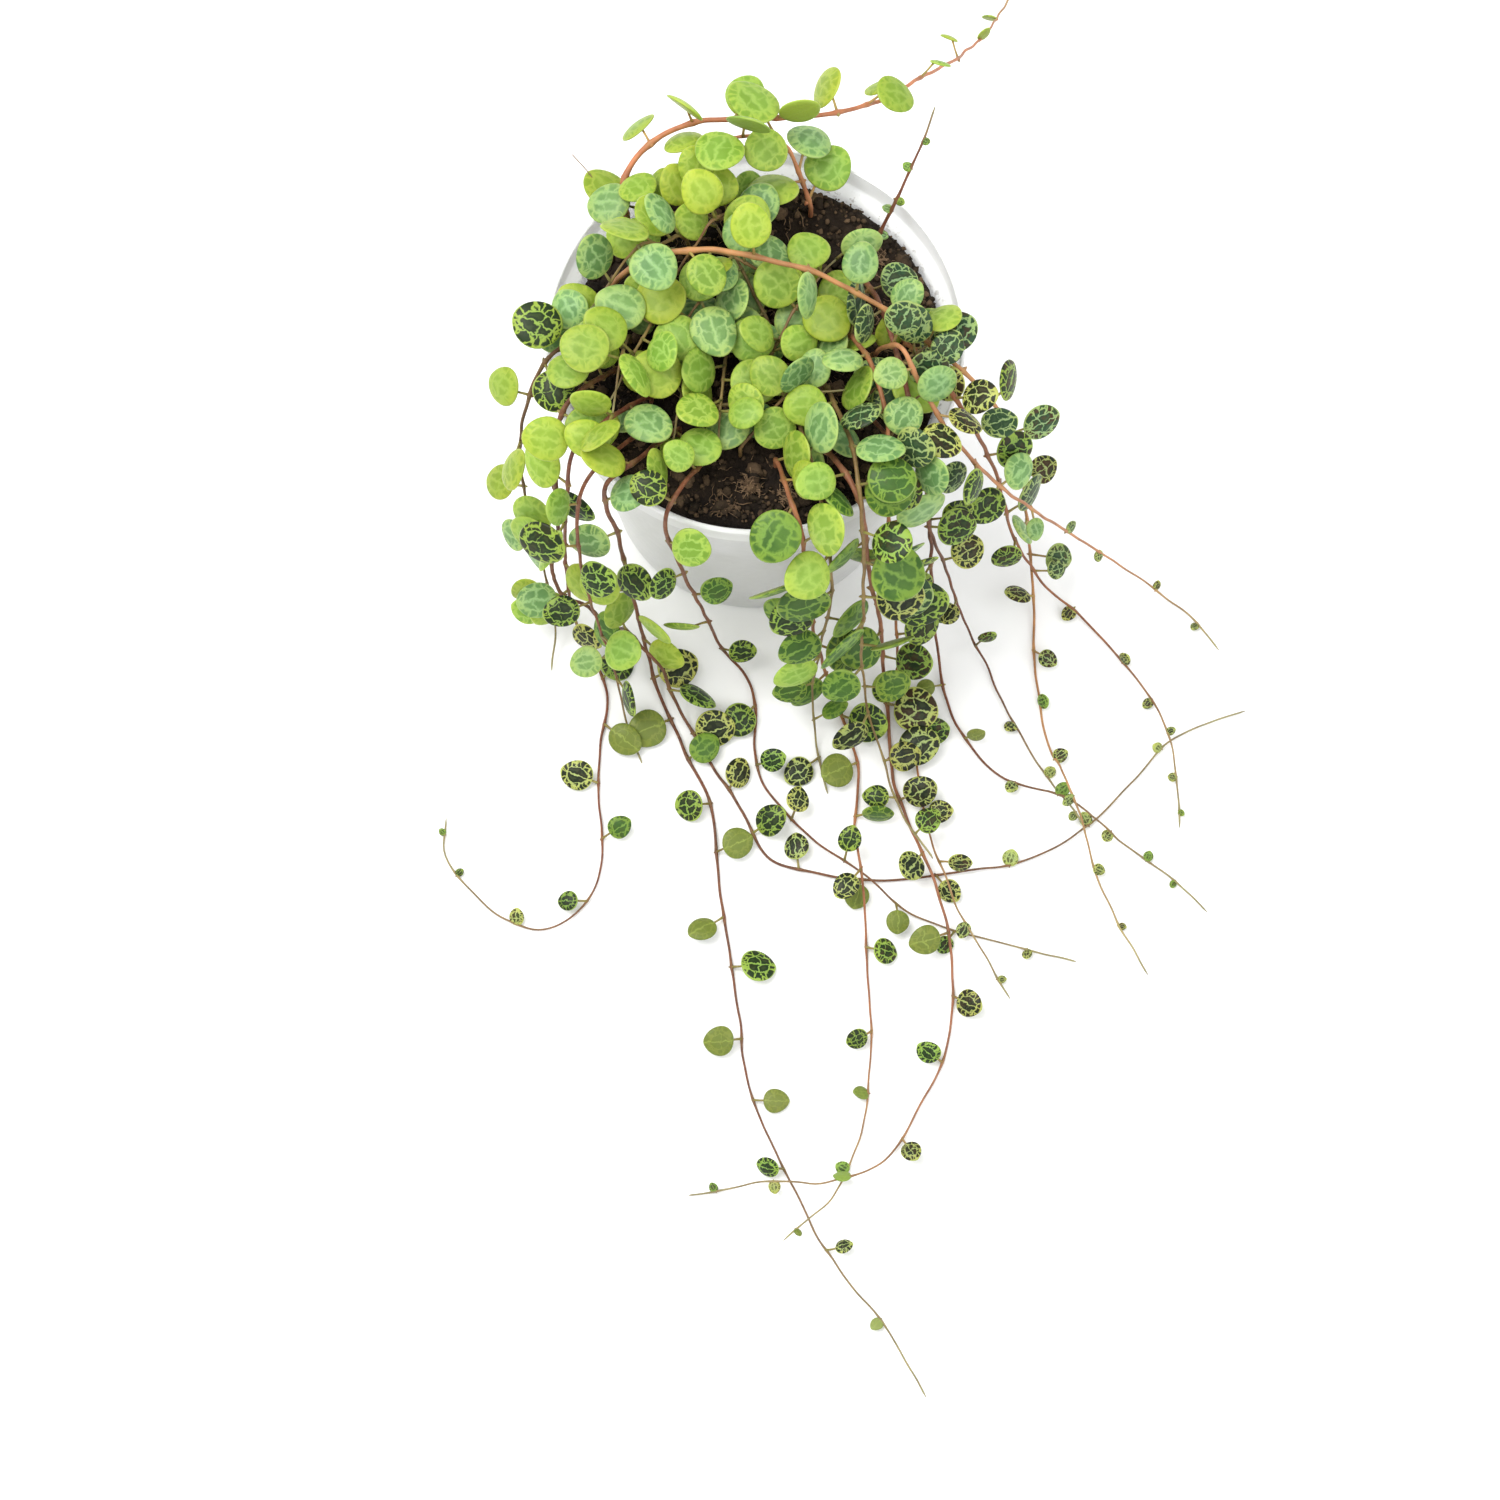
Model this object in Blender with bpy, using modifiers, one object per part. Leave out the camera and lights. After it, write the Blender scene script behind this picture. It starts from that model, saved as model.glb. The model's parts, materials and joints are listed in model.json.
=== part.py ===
# Potted string of turtles: a thin nursery pot, its soil and the leafy stems.
# Lengths below are in millimetres and become metres when a mesh is made.

import math
import random

import bmesh
import bpy
from mathutils import Matrix, Vector, noise
from mathutils.bvhtree import BVHTree
from mathutils.kdtree import KDTree

MM = 0.001
SEED = 5

SMOOTH_ANGLE = math.radians(35.0)
MERGE_DISTANCE = 0.00001

# Colour and roughness of each material
POT_FINISH = ((0.86, 0.87, 0.88), 0.45)
SOIL_FINISH = ((0.045, 0.03, 0.022), 0.95)
FOLIAGE_FINISH = ((0.3, 0.46, 0.1), 0.42)

# Pot
POT_HEIGHT = 92.0
POT_WALL = 1.0
POT_STEPS = 30
POT_PROFILE = [
    (51.9, 92.0),
    (52.5, 91.2),
    (52.3, 84.4),
    (48.9, 82.8),
    (38.1, 1.0),
    (37.0, 0.0),
    (0.0, 0.0),
]
HOLE_COUNT = 5
HOLE_RADIUS = 3.0
HOLE_RING = 27.0
HOLE_SIDES = 8
HOLE_CUT = 6.0

# Soil
SEAT_GAP = 0.3
SOIL_RADIUS = 47.2
SOIL_FOOT_RADIUS = 36.6
SOIL_EDGE_Z = 84.2
SOIL_SHOULDER = 3.0
SOIL_MOUND = 3.6
SOIL_BUMP = 1.5
SOIL_GRAIN = 0.11
SOIL_STEPS = 24
SOIL_RINGS = 5
ROOT_DEPTH = 5.0
ROOT_UPRIGHT = 4.0
ROOT_STRAIGHT = 1.5
ROOT_HOLE_REACH = 8.0
ROOT_CLEARANCE = 0.55
ROOT_SIDES = 5

# Stems
ROUTE_STEP = 1.5
ROUTE_FINENESS = 16
STEM_TOLERANCE = 0.7
STEM_SIDES = 3
STEM_FULLNESS = 1.25
STEM_CLEARANCE = 1.7
WALL_CLEARANCE = 0.8
GROUND_CLEARANCE = 0.3
STEM_GUARD = 0.5
CLEARANCE_SEARCH = 4.0
LIFT_STEP = 0.3
LIFT_MOST = 14.0
LIFT_REACH = 14.0
LIFT_ROUNDS = 4
RIM_GUARD = 40.0
HANG_LOW = (8.0, 28.0)
HANG_HIGH = 6.0

# Leaves
LEAF_SIDES = 7
SMALL_LEAF_SIDES = 6
SMALL_LEAF_RADIUS = 5.6
TINY_LEAF_SIDES = 5
TINY_LEAF_RADIUS = 3.6
BUD_RADIUS = 2.3
LEAF_ASPECT = (0.86, 1.0)
LEAF_TAPER = 0.1
LEAF_MARGIN = 0.35
LEAF_TRIES = 54
LEAF_TILT = (0.1, 1.15)
LEAF_SIZES = (0.84, 1.12)
LEAF_HOLD = 0.55
LEAF_SHRINK = 0.88
LEAF_FORWARD = (-0.5, 0.9)
LEAF_UPWARD = (-0.15, 0.5)
LEAF_SPACING = (0.8, 1.2)
BUD_SEAT = 0.84
FIRST_LEAF = 7.0
GROUND_ZONE = 8.0
HANGING_SPREAD = 1.38
GROUND_SPREAD = 1.0
MOUND_SPREAD = 0.82
START_SPREAD = 0.78
PETIOLE_RADIUS = 0.38
PETIOLE_GUARD = 0.2
PETIOLE_REACH = (0.9, 2.8)
PETIOLE_RISE = (0.5, 4.5)
MOUND_RISE = (1.5, 6.0)
BARE_PATCH = (-3.0, -41.0)
BARE_HALF = (12.0, 9.0)

# Each stem: route through chosen points, thickness at both ends, and leaf keys of
# (place along the stem, leaf radius, distance to the next leaf).
STEMS = {
    "vine_left_hook": (
        [(-26, -15, 0), (-27, -16, 96), (-37, -27, 102), (-45, -34, 99), (-47, -39, 80), (-49, -41, 40),
         (-48, -43, 10), (-44, -51, 1), (-39, -63, 1), (-41, -78, 1), (-41, -93, 1), (-40, -108, 1),
         (-45, -121, 1), (-55, -127, 1), (-66, -124, 1), (-75, -116, 1), (-81, -107, 1), (-81, -97, 1)],
        (0.6, 0.35),
        [(0.0, 5.8, 12), (0.35, 6.2, 11), (0.5, 4.6, 17), (0.75, 3.6, 20), (0.9, 1.6, 16), (1.0, 1.0, 12)],
    ),
    "vine_front_long": (
        [(-19, -24, 0), (-20, -25, 95), (-30, -38, 102), (-37, -44, 99), (-34, -47, 72), (-31, -50, 36),
         (-28, -55, 8), (-24, -66, 1), (-19, -78, 1), (-12, -93, 1), (-9, -119, 1), (-5, -144, 1),
         (-2, -168, 1), (4, -184, 1), (12, -201, 1), (21, -217, 1), (33, -232, 1), (43, -250, 1)],
        (0.65, 0.35),
        [(0.0, 5.6, 11), (0.35, 5.4, 11), (0.5, 5.0, 16), (0.7, 4.3, 18), (0.86, 2.6, 20), (1.0, 1.0, 40)],
    ),
    "vine_cross_right": (
        [(-33, -7, 0), (-34, -8, 95), (-42, -18, 102), (-48, -25, 99), (-50, -31, 80), (-50, -36, 50),
         (-45, -42, 20), (-35, -48, 3), (-25, -59, 1), (-17, -73, 1), (-5, -92, 1), (2, -106, 1),
         (12, -111, 1), (33, -114, 1), (52, -112, 1), (72, -108, 1), (87, -99, 1), (100, -86, 1),
         (109, -76, 1), (121, -70, 1), (130, -67, 1)],
        (0.65, 0.35),
        [(0.0, 5.6, 11), (0.35, 5.2, 12), (0.5, 4.8, 15), (0.66, 3.8, 20), (0.8, 2.2, 26), (1.0, 1.0, 24)],
    ),
    "vine_front_left": (
        [(-11, -31, 0), (-12, -33, 94), (-18, -44, 101), (-22, -52, 98), (-19, -54, 74), (-14, -53, 42),
         (-9, -53, 12), (-3, -57, 2), (0, -66, 1), (0, -78, 1), (3, -89, 1), (15, -103, 1),
         (28, -113, 1), (41, -123, 1), (60, -130, 1), (83, -136, 1)],
        (0.6, 0.35),
        [(0.0, 5.4, 12), (0.4, 4.6, 14), (0.6, 4.0, 16), (0.8, 3.2, 22), (1.0, 1.0, 16)],
    ),
    "vine_centre": (
        [(5, -32, 0), (5, -33, 94), (8, -45, 101), (11, -54, 98), (13, -57, 72), (15, -58, 40),
         (19, -61, 8), (23, -69, 1), (27, -82, 1), (26, -100, 1), (28, -117, 1), (29, -138, 1),
         (30, -157, 1), (27, -181, 1), (20, -198, 1), (7, -210, 1)],
        (0.6, 0.35),
        [(0.0, 6.2, 11), (0.3, 7.0, 11), (0.45, 5.4, 12), (0.6, 4.2, 18), (0.8, 2.8, 22), (1.0, 1.0, 18)],
    ),
    "vine_front_sweep": (
        [(14, -26, 0), (15, -28, 95), (21, -40, 103), (26, -49, 99), (28, -52, 70), (32, -54, 36),
         (34, -58, 6), (35, -71, 1), (37, -89, 1), (43, -106, 1), (49, -123, 1), (51, -141, 1),
         (49, -160, 1), (42, -175, 1), (33, -189, 1), (19, -195, 1), (1, -195, 1), (-17, -198, 1)],
        (0.75, 0.35),
        [(0.0, 6.2, 11), (0.3, 6.8, 11), (0.45, 5.4, 12), (0.65, 3.8, 19), (0.85, 2.4, 22), (1.0, 1.0, 16)],
    ),
    "vine_right_inner": (
        [(24, -17, 0), (25, -19, 95), (32, -31, 103), (38, -40, 98), (43, -43, 76), (49, -45, 46),
         (55, -47, 14), (61, -54, 2), (67, -68, 1), (74, -81, 1), (81, -92, 1), (86, -100, 1)],
        (0.6, 0.35),
        [(0.0, 5.8, 12), (0.4, 5.0, 15), (0.6, 3.0, 22), (1.0, 1.2, 16)],
    ),
    "vine_right_middle": (
        [(19, 4, 0), (20, 3, 95), (27, -10, 105), (32, -27, 106), (32, -44, 100), (34, -49, 70),
         (36, -52, 38), (38, -57, 8), (41, -70, 1), (43, -86, 1), (46, -104, 1), (52, -121, 1),
         (60, -136, 1), (66, -146, 1)],
        (0.65, 0.35),
        [(0.0, 6.0, 12), (0.35, 6.4, 11), (0.5, 5.4, 12), (0.7, 4.2, 15), (0.88, 2.4, 18), (1.0, 1.0, 14)],
    ),
    "vine_right_red": (
        [(26, 18, 0), (27, 16, 95), (31, 2, 105), (36, -16, 106), (41, -35, 99), (44, -40, 66),
         (46, -44, 32), (48, -51, 6), (50, -62, 1), (54, -73, 1), (64, -85, 1), (81, -93, 1),
         (93, -102, 1), (107, -112, 1), (118, -123, 1)],
        (0.75, 0.35),
        [(0.0, 5.4, 13), (0.4, 5.0, 16), (0.6, 3.2, 17), (0.8, 2.0, 15), (1.0, 1.0, 11)],
    ),
    "vine_orange": (
        [(-37, 14, 0), (-36, 14, 97), (-27, 14, 108), (-14, 14, 113), (1, 11, 115), (18, 6, 114),
         (36, -3, 108), (45, -9, 104), (52, -13, 99), (61, -15, 80), (68, -19, 50), (72, -26, 20),
         (74, -38, 3), (74, -53, 1), (76, -71, 1), (81, -88, 1), (87, -107, 1), (94, -125, 1),
         (102, -140, 1)],
        (0.8, 0.35),
        [(0.0, 5.4, 20), (0.4, 5.2, 13), (0.6, 4.4, 12), (0.76, 2.4, 15), (1.0, 1.0, 18)],
    ),
    "vine_right_high": (
        [(29, -4, 0), (30, -6, 95), (38, -18, 103), (47, -29, 101), (57, -34, 86), (70, -34, 62),
         (84, -31, 34), (99, -32, 12), (109, -35, 2), (117, -42, 1), (123, -50, 1)],
        (0.65, 0.35),
        [(0.0, 5.2, 12), (0.4, 4.8, 12), (0.6, 2.0, 16), (1.0, 1.0, 15)],
    ),
    "vine_right_outer": (
        [(37, 0, 0), (38, -2, 95), (43, -13, 103), (51, -24, 102), (60, -27, 72), (67, -31, 36),
         (77, -35, 9), (86, -40, 2), (94, -49, 1), (103, -61, 1), (109, -76, 1), (111, -89, 1),
         (111, -100, 1)],
        (0.65, 0.35),
        [(0.0, 5.2, 11), (0.45, 5.0, 10), (0.62, 3.0, 15), (0.8, 1.6, 14), (1.0, 1.0, 12)],
    ),
    "vine_back_long": (
        [(-30, 25, 0), (-31, 27, 95), (-33, 37, 101), (-26, 47, 106), (-14, 51, 109), (2, 52, 109),
         (16, 54, 107), (29, 61, 99), (42, 78, 80), (54, 98, 54), (63, 120, 26), (69, 138, 6),
         (73, 148, 1), (78, 160, 1)],
        (0.8, 0.45),
        [(0.0, 5.4, 9), (0.4, 6.2, 9), (0.5, 3.0, 24), (0.8, 2.4, 20), (1.0, 1.2, 30)],
    ),
    "arch_back": (
        [(14, 37, 0), (13, 38, 95), (8, 45, 106), (1, 46, 111), (-10, 44, 112), (-20, 38, 108)],
        (0.65, 0.45),
        [(0.0, 5.8, 7), (0.5, 6.4, 7), (1.0, 5.4, 7)],
    ),
    "shoot_back_right": (
        [(31, 29, 0), (32, 31, 94), (38, 39, 102), (42, 47, 108), (45, 54, 112)],
        (0.55, 0.4),
        [(0.0, 1.2, 6), (1.0, 1.2, 6)],
    ),
    "cluster_centre_left": (
        [(10, -21, 0), (10, -23, 95), (14, -40, 104), (17, -53, 99), (19, -60, 74), (17, -63, 44),
         (15, -66, 14), (16, -76, 2), (19, -90, 1)],
        (0.6, 0.4),
        [(0.0, 6.2, 11), (0.4, 7.2, 10), (0.7, 6.0, 10), (1.0, 3.2, 10)],
    ),
    "cluster_centre": (
        [(17, -12, 0), (18, -14, 96), (23, -34, 106), (26, -52, 101), (27, -62, 74), (27, -66, 44),
         (29, -69, 14), (33, -80, 2), (38, -96, 1), (46, -110, 1)],
        (0.6, 0.4),
        [(0.0, 6.2, 12), (0.4, 7.0, 10), (0.7, 5.6, 10), (1.0, 3.0, 11)],
    ),
    "cluster_left": (
        [(-27, -24, 0), (-28, -26, 95), (-36, -37, 103), (-43, -45, 98), (-44, -52, 74), (-41, -56, 44),
         (-37, -60, 14), (-34, -70, 2), (-30, -82, 1)],
        (0.6, 0.4),
        [(0.0, 5.6, 12), (0.4, 5.8, 11), (0.8, 5.2, 11), (1.0, 3.2, 10)],
    ),
    "cluster_far_left": (
        [(-38, 4, 0), (-39, 3, 95), (-47, -6, 101), (-54, -12, 97), (-59, -19, 76), (-59, -27, 50),
         (-55, -36, 24), (-53, -46, 6), (-54, -56, 1)],
        (0.6, 0.4),
        [(0.0, 5.6, 11), (0.5, 5.6, 11), (0.8, 5.0, 12), (1.0, 3.2, 10)],
    ),
}

# Where the leaves of a stem face, where that isn't up and a little to the front
FACING = {
    "vine_back_long": (-0.1, 0.75, 0.75),
    "arch_back": (-0.2, 0.35, 1.0),
}
PLAIN_FACING = (0.0, -0.32, 1.0)
SIDE_FACING = 0.9

# Short leafy stems that make the mound, placed by rule
MOUND_COUNT = 14
MOUND_RADIUS = 37.0
MOUND_LENGTH = (30.0, 42.0)
MOUND_TOP = (95.0, 102.0)
MOUND_TIP = (93.0, 98.0)
MOUND_EDGE = 44.0
MOUND_TURN = (1.2, 2.6)
MOUND_KEYS = [(0.0, 5.6, 7), (0.6, 6.0, 7), (1.0, 5.2, 7)]
MOUND_STEM = (0.55, 0.4)
MOUND_SPOTS = 24
MOUND_RISE_Z = 94.0
ROOT_SPACING = 5.0
GOLDEN_ANGLE = math.radians(137.508)


def clear_file():
    for item in list(bpy.data.objects):
        bpy.data.objects.remove(item, do_unlink=True)
    for mesh in list(bpy.data.meshes):
        bpy.data.meshes.remove(mesh)


def mesh_object(name, bm, collection):
    bmesh.ops.recalc_face_normals(bm, faces=bm.faces)
    mesh = bpy.data.meshes.new(name)
    bm.to_mesh(mesh)
    bm.free()
    item = bpy.data.objects.new(name, mesh)
    collection.objects.link(item)
    return item


def apply_modifiers(item):
    graph = bpy.context.evaluated_depsgraph_get()
    mesh = bpy.data.meshes.new_from_object(item.evaluated_get(graph))
    old = item.data
    item.modifiers.clear()
    item.data = mesh
    bpy.data.meshes.remove(old)


def add_material(item, colour, roughness):
    material = bpy.data.materials.new(item.name)
    material.use_nodes = True
    shader = material.node_tree.nodes["Principled BSDF"]
    shader.inputs["Base Color"].default_value = (*colour, 1.0)
    shader.inputs["Roughness"].default_value = roughness
    material.diffuse_color = (*colour, 1.0)
    item.data.materials.clear()
    item.data.materials.append(material)
    item.data.shade_smooth()
    item.data.set_sharp_from_angle(angle=SMOOTH_ANGLE)


def blend(a, b, t):
    return a + (b - a) * t


def key_value(keys, t, column):
    for (t0, *low), (t1, *high) in zip(keys, keys[1:]):
        if t <= t1:
            return blend(low[column], high[column], (t - t0) / (t1 - t0))
    return keys[-1][1 + column]


def soil_height(x, y):
    away = math.hypot(x, y) / SOIL_RADIUS
    bumps = noise.noise(Vector((x * SOIL_GRAIN, y * SOIL_GRAIN, 3.7)))
    return SOIL_EDGE_Z + SOIL_MOUND * (1.0 - away * away) + SOIL_BUMP * bumps


def even_points(points, step):
    """Points at even steps along a polyline."""
    result = [points[0]]
    carry = 0.0
    for a, b in zip(points, points[1:]):
        length = (b - a).length
        place = step - carry
        while place <= length:
            result.append(a.lerp(b, place / length))
            place += step
        carry = length - (place - step)
    if (result[-1] - points[-1]).length > step * 0.4:
        result.append(points[-1])
    return result


def smooth_route(points):
    """Catmull-Rom curve through the points, at even steps."""
    ends = [points[0] * 2 - points[1], *points, points[-1] * 2 - points[-2]]
    fine = []
    for a, b, c, d in zip(ends, ends[1:], ends[2:], ends[3:]):
        for k in range(ROUTE_FINENESS):
            t = k / ROUTE_FINENESS
            fine.append(0.5 * (2 * b + (c - a) * t + (2 * a - 5 * b + 4 * c - d) * t ** 2
                               + (3 * b - a - 3 * c + d) * t ** 3))
    fine.append(points[-1].copy())
    return even_points(fine, ROUTE_STEP)


def ramp(value, low, high):
    """0 at low, 1 at high and straight between."""
    return min(max((value - low) / (high - low), 0.0), 1.0)


def escape_direction(point):
    """Up on the ground and above the pot, outward where a stem hangs beside it."""
    away = Vector((point.x, point.y, 0.0))
    hang = ramp(point.z, *HANG_LOW) * ramp(point.z, POT_HEIGHT, POT_HEIGHT - HANG_HIGH)
    if away.length < RIM_GUARD:
        hang = 0.0
    return (away.normalized() * hang + Vector((0.0, 0.0, 1.0 - hang + 0.15))).normalized()


def clear_route(route, radius, solids, used):
    """Moves the samples of a route off the pot, the soil, the ground and earlier stems."""
    route = [point.copy() for point in route]
    floor = radius + GROUND_CLEARANCE
    free_from = int(math.ceil((ROOT_DEPTH + ROOT_UPRIGHT) / ROUTE_STEP))
    tree = KDTree(max(len(used), 1))
    for index, (place, _) in enumerate(used):
        tree.insert(place, index)
    tree.balance()

    def blocked(point):
        for _, index, distance in tree.find_range(point, CLEARANCE_SEARCH):
            if distance < radius + used[index][1] + STEM_CLEARANCE:
                return True
        for solid in solids:
            near = solid.find_nearest(point, CLEARANCE_SEARCH)
            if near[0] is not None and near[3] < radius + WALL_CLEARANCE:
                return True
        return False

    reach = int(LIFT_REACH / ROUTE_STEP)
    for _ in range(LIFT_ROUNDS):
        amounts = []
        for index, point in enumerate(route):
            amount = 0.0
            if index >= free_from:
                direction = escape_direction(point)
                while blocked(point + direction * amount) and amount < LIFT_MOST:
                    amount += LIFT_STEP
            amounts.append(amount)
        if not any(amounts):
            break
        for index, point in enumerate(route):
            if index < free_from:
                continue
            most = 0.0
            for other in range(max(free_from, index - reach), min(len(route), index + reach + 1)):
                fall = 0.5 + 0.5 * math.cos(math.pi * abs(other - index) / (reach + 1))
                fade = min(1.0, (index - free_from + 1) / 4.0)
                most = max(most, amounts[other] * min(1.0, fall * 1.15) * (fade if other != index else 1.0))
            route[index] = point + escape_direction(point) * most
    for index in range(free_from, len(route)):
        route[index].z = max(route[index].z, floor)
    return route


def simplify(route, tolerance):
    """The few samples that keep the route within the tolerance."""
    keep = {0, len(route) - 1}
    spans = [(0, len(route) - 1)]
    while spans:
        first, last = spans.pop()
        a = route[first]
        along = (route[last] - a).normalized()
        worst = 0.0
        pick = None
        for index in range(first + 1, last):
            off = route[index] - a
            distance = (off - along * off.dot(along)).length
            if distance > worst:
                worst = distance
                pick = index
        if worst > tolerance:
            keep.add(pick)
            spans.append((first, pick))
            spans.append((pick, last))
    return sorted(keep)


def stem_radius(stem, t):
    return blend(stem["thick"][0], stem["thick"][1], t)


def section_object():
    """Closed three-sided outline that the stems are swept with."""
    curve = bpy.data.curves.new("stem_section", "CURVE")
    curve.dimensions = "2D"
    spline = curve.splines.new("POLY")
    spline.points.add(STEM_SIDES - 1)
    for k, point in enumerate(spline.points):
        angle = 2.0 * math.pi * k / STEM_SIDES
        point.co = (STEM_FULLNESS * MM * math.cos(angle), STEM_FULLNESS * MM * math.sin(angle), 0.0, 1.0)
    spline.use_cyclic_u = True
    holder = bpy.data.objects.new("stem_section", curve)
    bpy.context.scene.collection.objects.link(holder)
    return holder


def tube_mesh(points, radii, name):
    """A three-sided tube through the points, closed at both ends."""
    section = section_object()
    curve = bpy.data.curves.new(name, "CURVE")
    curve.dimensions = "3D"
    curve.bevel_mode = "OBJECT"
    curve.bevel_object = section
    curve.use_fill_caps = True
    spline = curve.splines.new("POLY")
    spline.points.add(len(points) - 1)
    for target, point, radius in zip(spline.points, points, radii):
        target.co = (*(point * MM), 1.0)
        target.radius = radius
    holder = bpy.data.objects.new(name, curve)
    bpy.context.scene.collection.objects.link(holder)
    graph = bpy.context.evaluated_depsgraph_get()
    mesh = bpy.data.meshes.new_from_object(holder.evaluated_get(graph))
    bpy.data.objects.remove(holder)
    bpy.data.curves.remove(curve)
    outline = section.data
    bpy.data.objects.remove(section)
    bpy.data.curves.remove(outline)
    bm = bmesh.new()
    bm.from_mesh(mesh)
    bpy.data.meshes.remove(mesh)
    bmesh.ops.remove_doubles(bm, verts=bm.verts, dist=MERGE_DISTANCE)
    bmesh.ops.recalc_face_normals(bm, faces=bm.faces)
    return bm


def leaf_thickness(radius):
    return min(2.0, 0.8 + 0.22 * radius)


def leaf_matrix(leaf, grow):
    """Places a unit lens: x to the leaf tip, z along its upper face normal."""
    tip = leaf["tip"]
    up = leaf["up"]
    side = up.cross(tip)
    turn = Matrix((tip, side, up)).transposed().to_4x4()
    half = leaf_thickness(leaf["radius"]) * 0.5
    width = leaf["radius"] * leaf["aspect"]
    size = Matrix.Diagonal((leaf["radius"] + grow, width + grow, half + grow, 1.0))
    return Matrix.Translation(leaf["centre"]) @ turn @ size


def lens(sides, matrix):
    """A many-sided lens, a little narrower towards its tip."""
    bm = bmesh.new()
    bmesh.ops.create_uvsphere(bm, u_segments=sides, v_segments=2, radius=1.0)
    bmesh.ops.rotate(bm, matrix=Matrix.Rotation(math.pi / sides, 3, "Z"), verts=bm.verts)
    for vert in bm.verts:
        vert.co.y *= 1.0 - LEAF_TAPER * vert.co.x
    bmesh.ops.transform(bm, matrix=matrix, verts=bm.verts)
    return bm


def stick(start, end, r0, r1):
    """A three-sided tapered stick between two points."""
    bm = bmesh.new()
    along = end - start
    bmesh.ops.create_cone(bm, cap_ends=True, segments=3, radius1=r0, radius2=r1, depth=along.length)
    turn = along.to_track_quat("Z", "Y").to_matrix().to_4x4()
    bmesh.ops.transform(bm, matrix=Matrix.Translation((start + end) * 0.5) @ turn, verts=bm.verts)
    return bm


def leaf_sides(radius):
    if radius < TINY_LEAF_RADIUS:
        return TINY_LEAF_SIDES
    return SMALL_LEAF_SIDES if radius < SMALL_LEAF_RADIUS else LEAF_SIDES


def in_pot(point):
    """Whether a point lies over the soil."""
    return math.hypot(point.x, point.y) < SOIL_RADIUS and point.z > SOIL_EDGE_Z


def bvh_of(bm):
    tree = BVHTree.FromBMesh(bm)
    bm.free()
    return tree


def light_direction(name, point):
    """Where the leaves of a stem turn there; outward on the sides of the pot."""
    away = Vector((point.x, point.y, 0.0))
    up = Vector(FACING.get(name, PLAIN_FACING))
    if GROUND_ZONE < point.z < POT_HEIGHT and away.length > SOIL_RADIUS:
        up += away.normalized() * SIDE_FACING
    return up.normalized()


def tilted(up, chance):
    """The direction up, tilted by a random angle: a little for most leaves, much for some."""
    across = Matrix.Rotation(chance.uniform(0.0, 2.0 * math.pi), 3, up) @ up.orthogonal().normalized()
    angle = blend(*LEAF_TILT, chance.random() ** 2)
    return (up * math.cos(angle) + across * math.sin(angle)).normalized()


def try_leaf(stem, index, radius, turn_side, chance, blockers):
    """One random try at a leaf on a stem; None where it would touch something.

    The leaf reaches out to the side where turn_side is 1 or -1, and ends the stem where it is 0.
    """
    route = stem["route"]
    point = route[index]
    along = (route[min(index + 1, len(route) - 1)] - route[max(index - 1, 0)]).normalized()
    up = light_direction(stem["name"], point)
    side = along.cross(up)
    if side.length < 0.2:
        side = along.orthogonal()
    side = side.normalized() * turn_side
    lean = tilted(up, chance)
    forward = chance.uniform(*LEAF_FORWARD) if turn_side else 1.0
    reach = side + along * forward + up * chance.uniform(*LEAF_UPWARD)
    tip = reach - lean * reach.dot(lean)
    if tip.length < 0.2:
        return None
    tip.normalize()
    stalk = radius >= BUD_RADIUS
    if not stalk:
        centre = point + tip * radius * BUD_SEAT
    else:
        rise = chance.uniform(*(MOUND_RISE if in_pot(point) else PETIOLE_RISE))
        base = point + reach.normalized() * chance.uniform(*PETIOLE_REACH) + up * rise
        centre = base + tip * radius
    leaf = {"radius": radius, "tip": tip, "up": lean, "centre": centre, "root": point, "stalk": stalk}
    leaf["aspect"] = chance.uniform(*LEAF_ASPECT)
    leaf["hold"] = centre - tip * radius * LEAF_HOLD
    return leaf if leaf_is_free(leaf, stem, blockers) else None


def over_bare_patch(point):
    """The front of the soil stays in view."""
    return (abs(point.x - BARE_PATCH[0]) < BARE_HALF[0] and abs(point.y - BARE_PATCH[1]) < BARE_HALF[1]
            and point.z > POT_HEIGHT - 8.0)


def leaf_is_free(leaf, stem, blockers):
    body = lens(leaf_sides(leaf["radius"]), leaf_matrix(leaf, LEAF_MARGIN))
    lowest = min(vert.co.z for vert in body.verts)
    tree = bvh_of(body)
    if lowest < GROUND_CLEARANCE or over_bare_patch(leaf["centre"]):
        return False
    centre = leaf["centre"]
    reach = leaf["radius"] + PETIOLE_REACH[1] + MOUND_RISE[1]
    stick_tree = None
    if leaf["stalk"]:
        start = leaf["root"].lerp(leaf["hold"], 0.25)
        size = PETIOLE_RADIUS + PETIOLE_GUARD
        stick_tree = bvh_of(stick(start, leaf["hold"], size, size))
    for owner, place, size, other in blockers:
        if place is not None and (place - centre).length > reach + size:
            continue
        if owner == stem["name"] and place is None and not leaf["stalk"]:
            continue
        if other.overlap(tree):
            return False
        if stick_tree is not None and not (owner == stem["name"] and place is None):
            if other.overlap(stick_tree):
                return False
    return True


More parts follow.
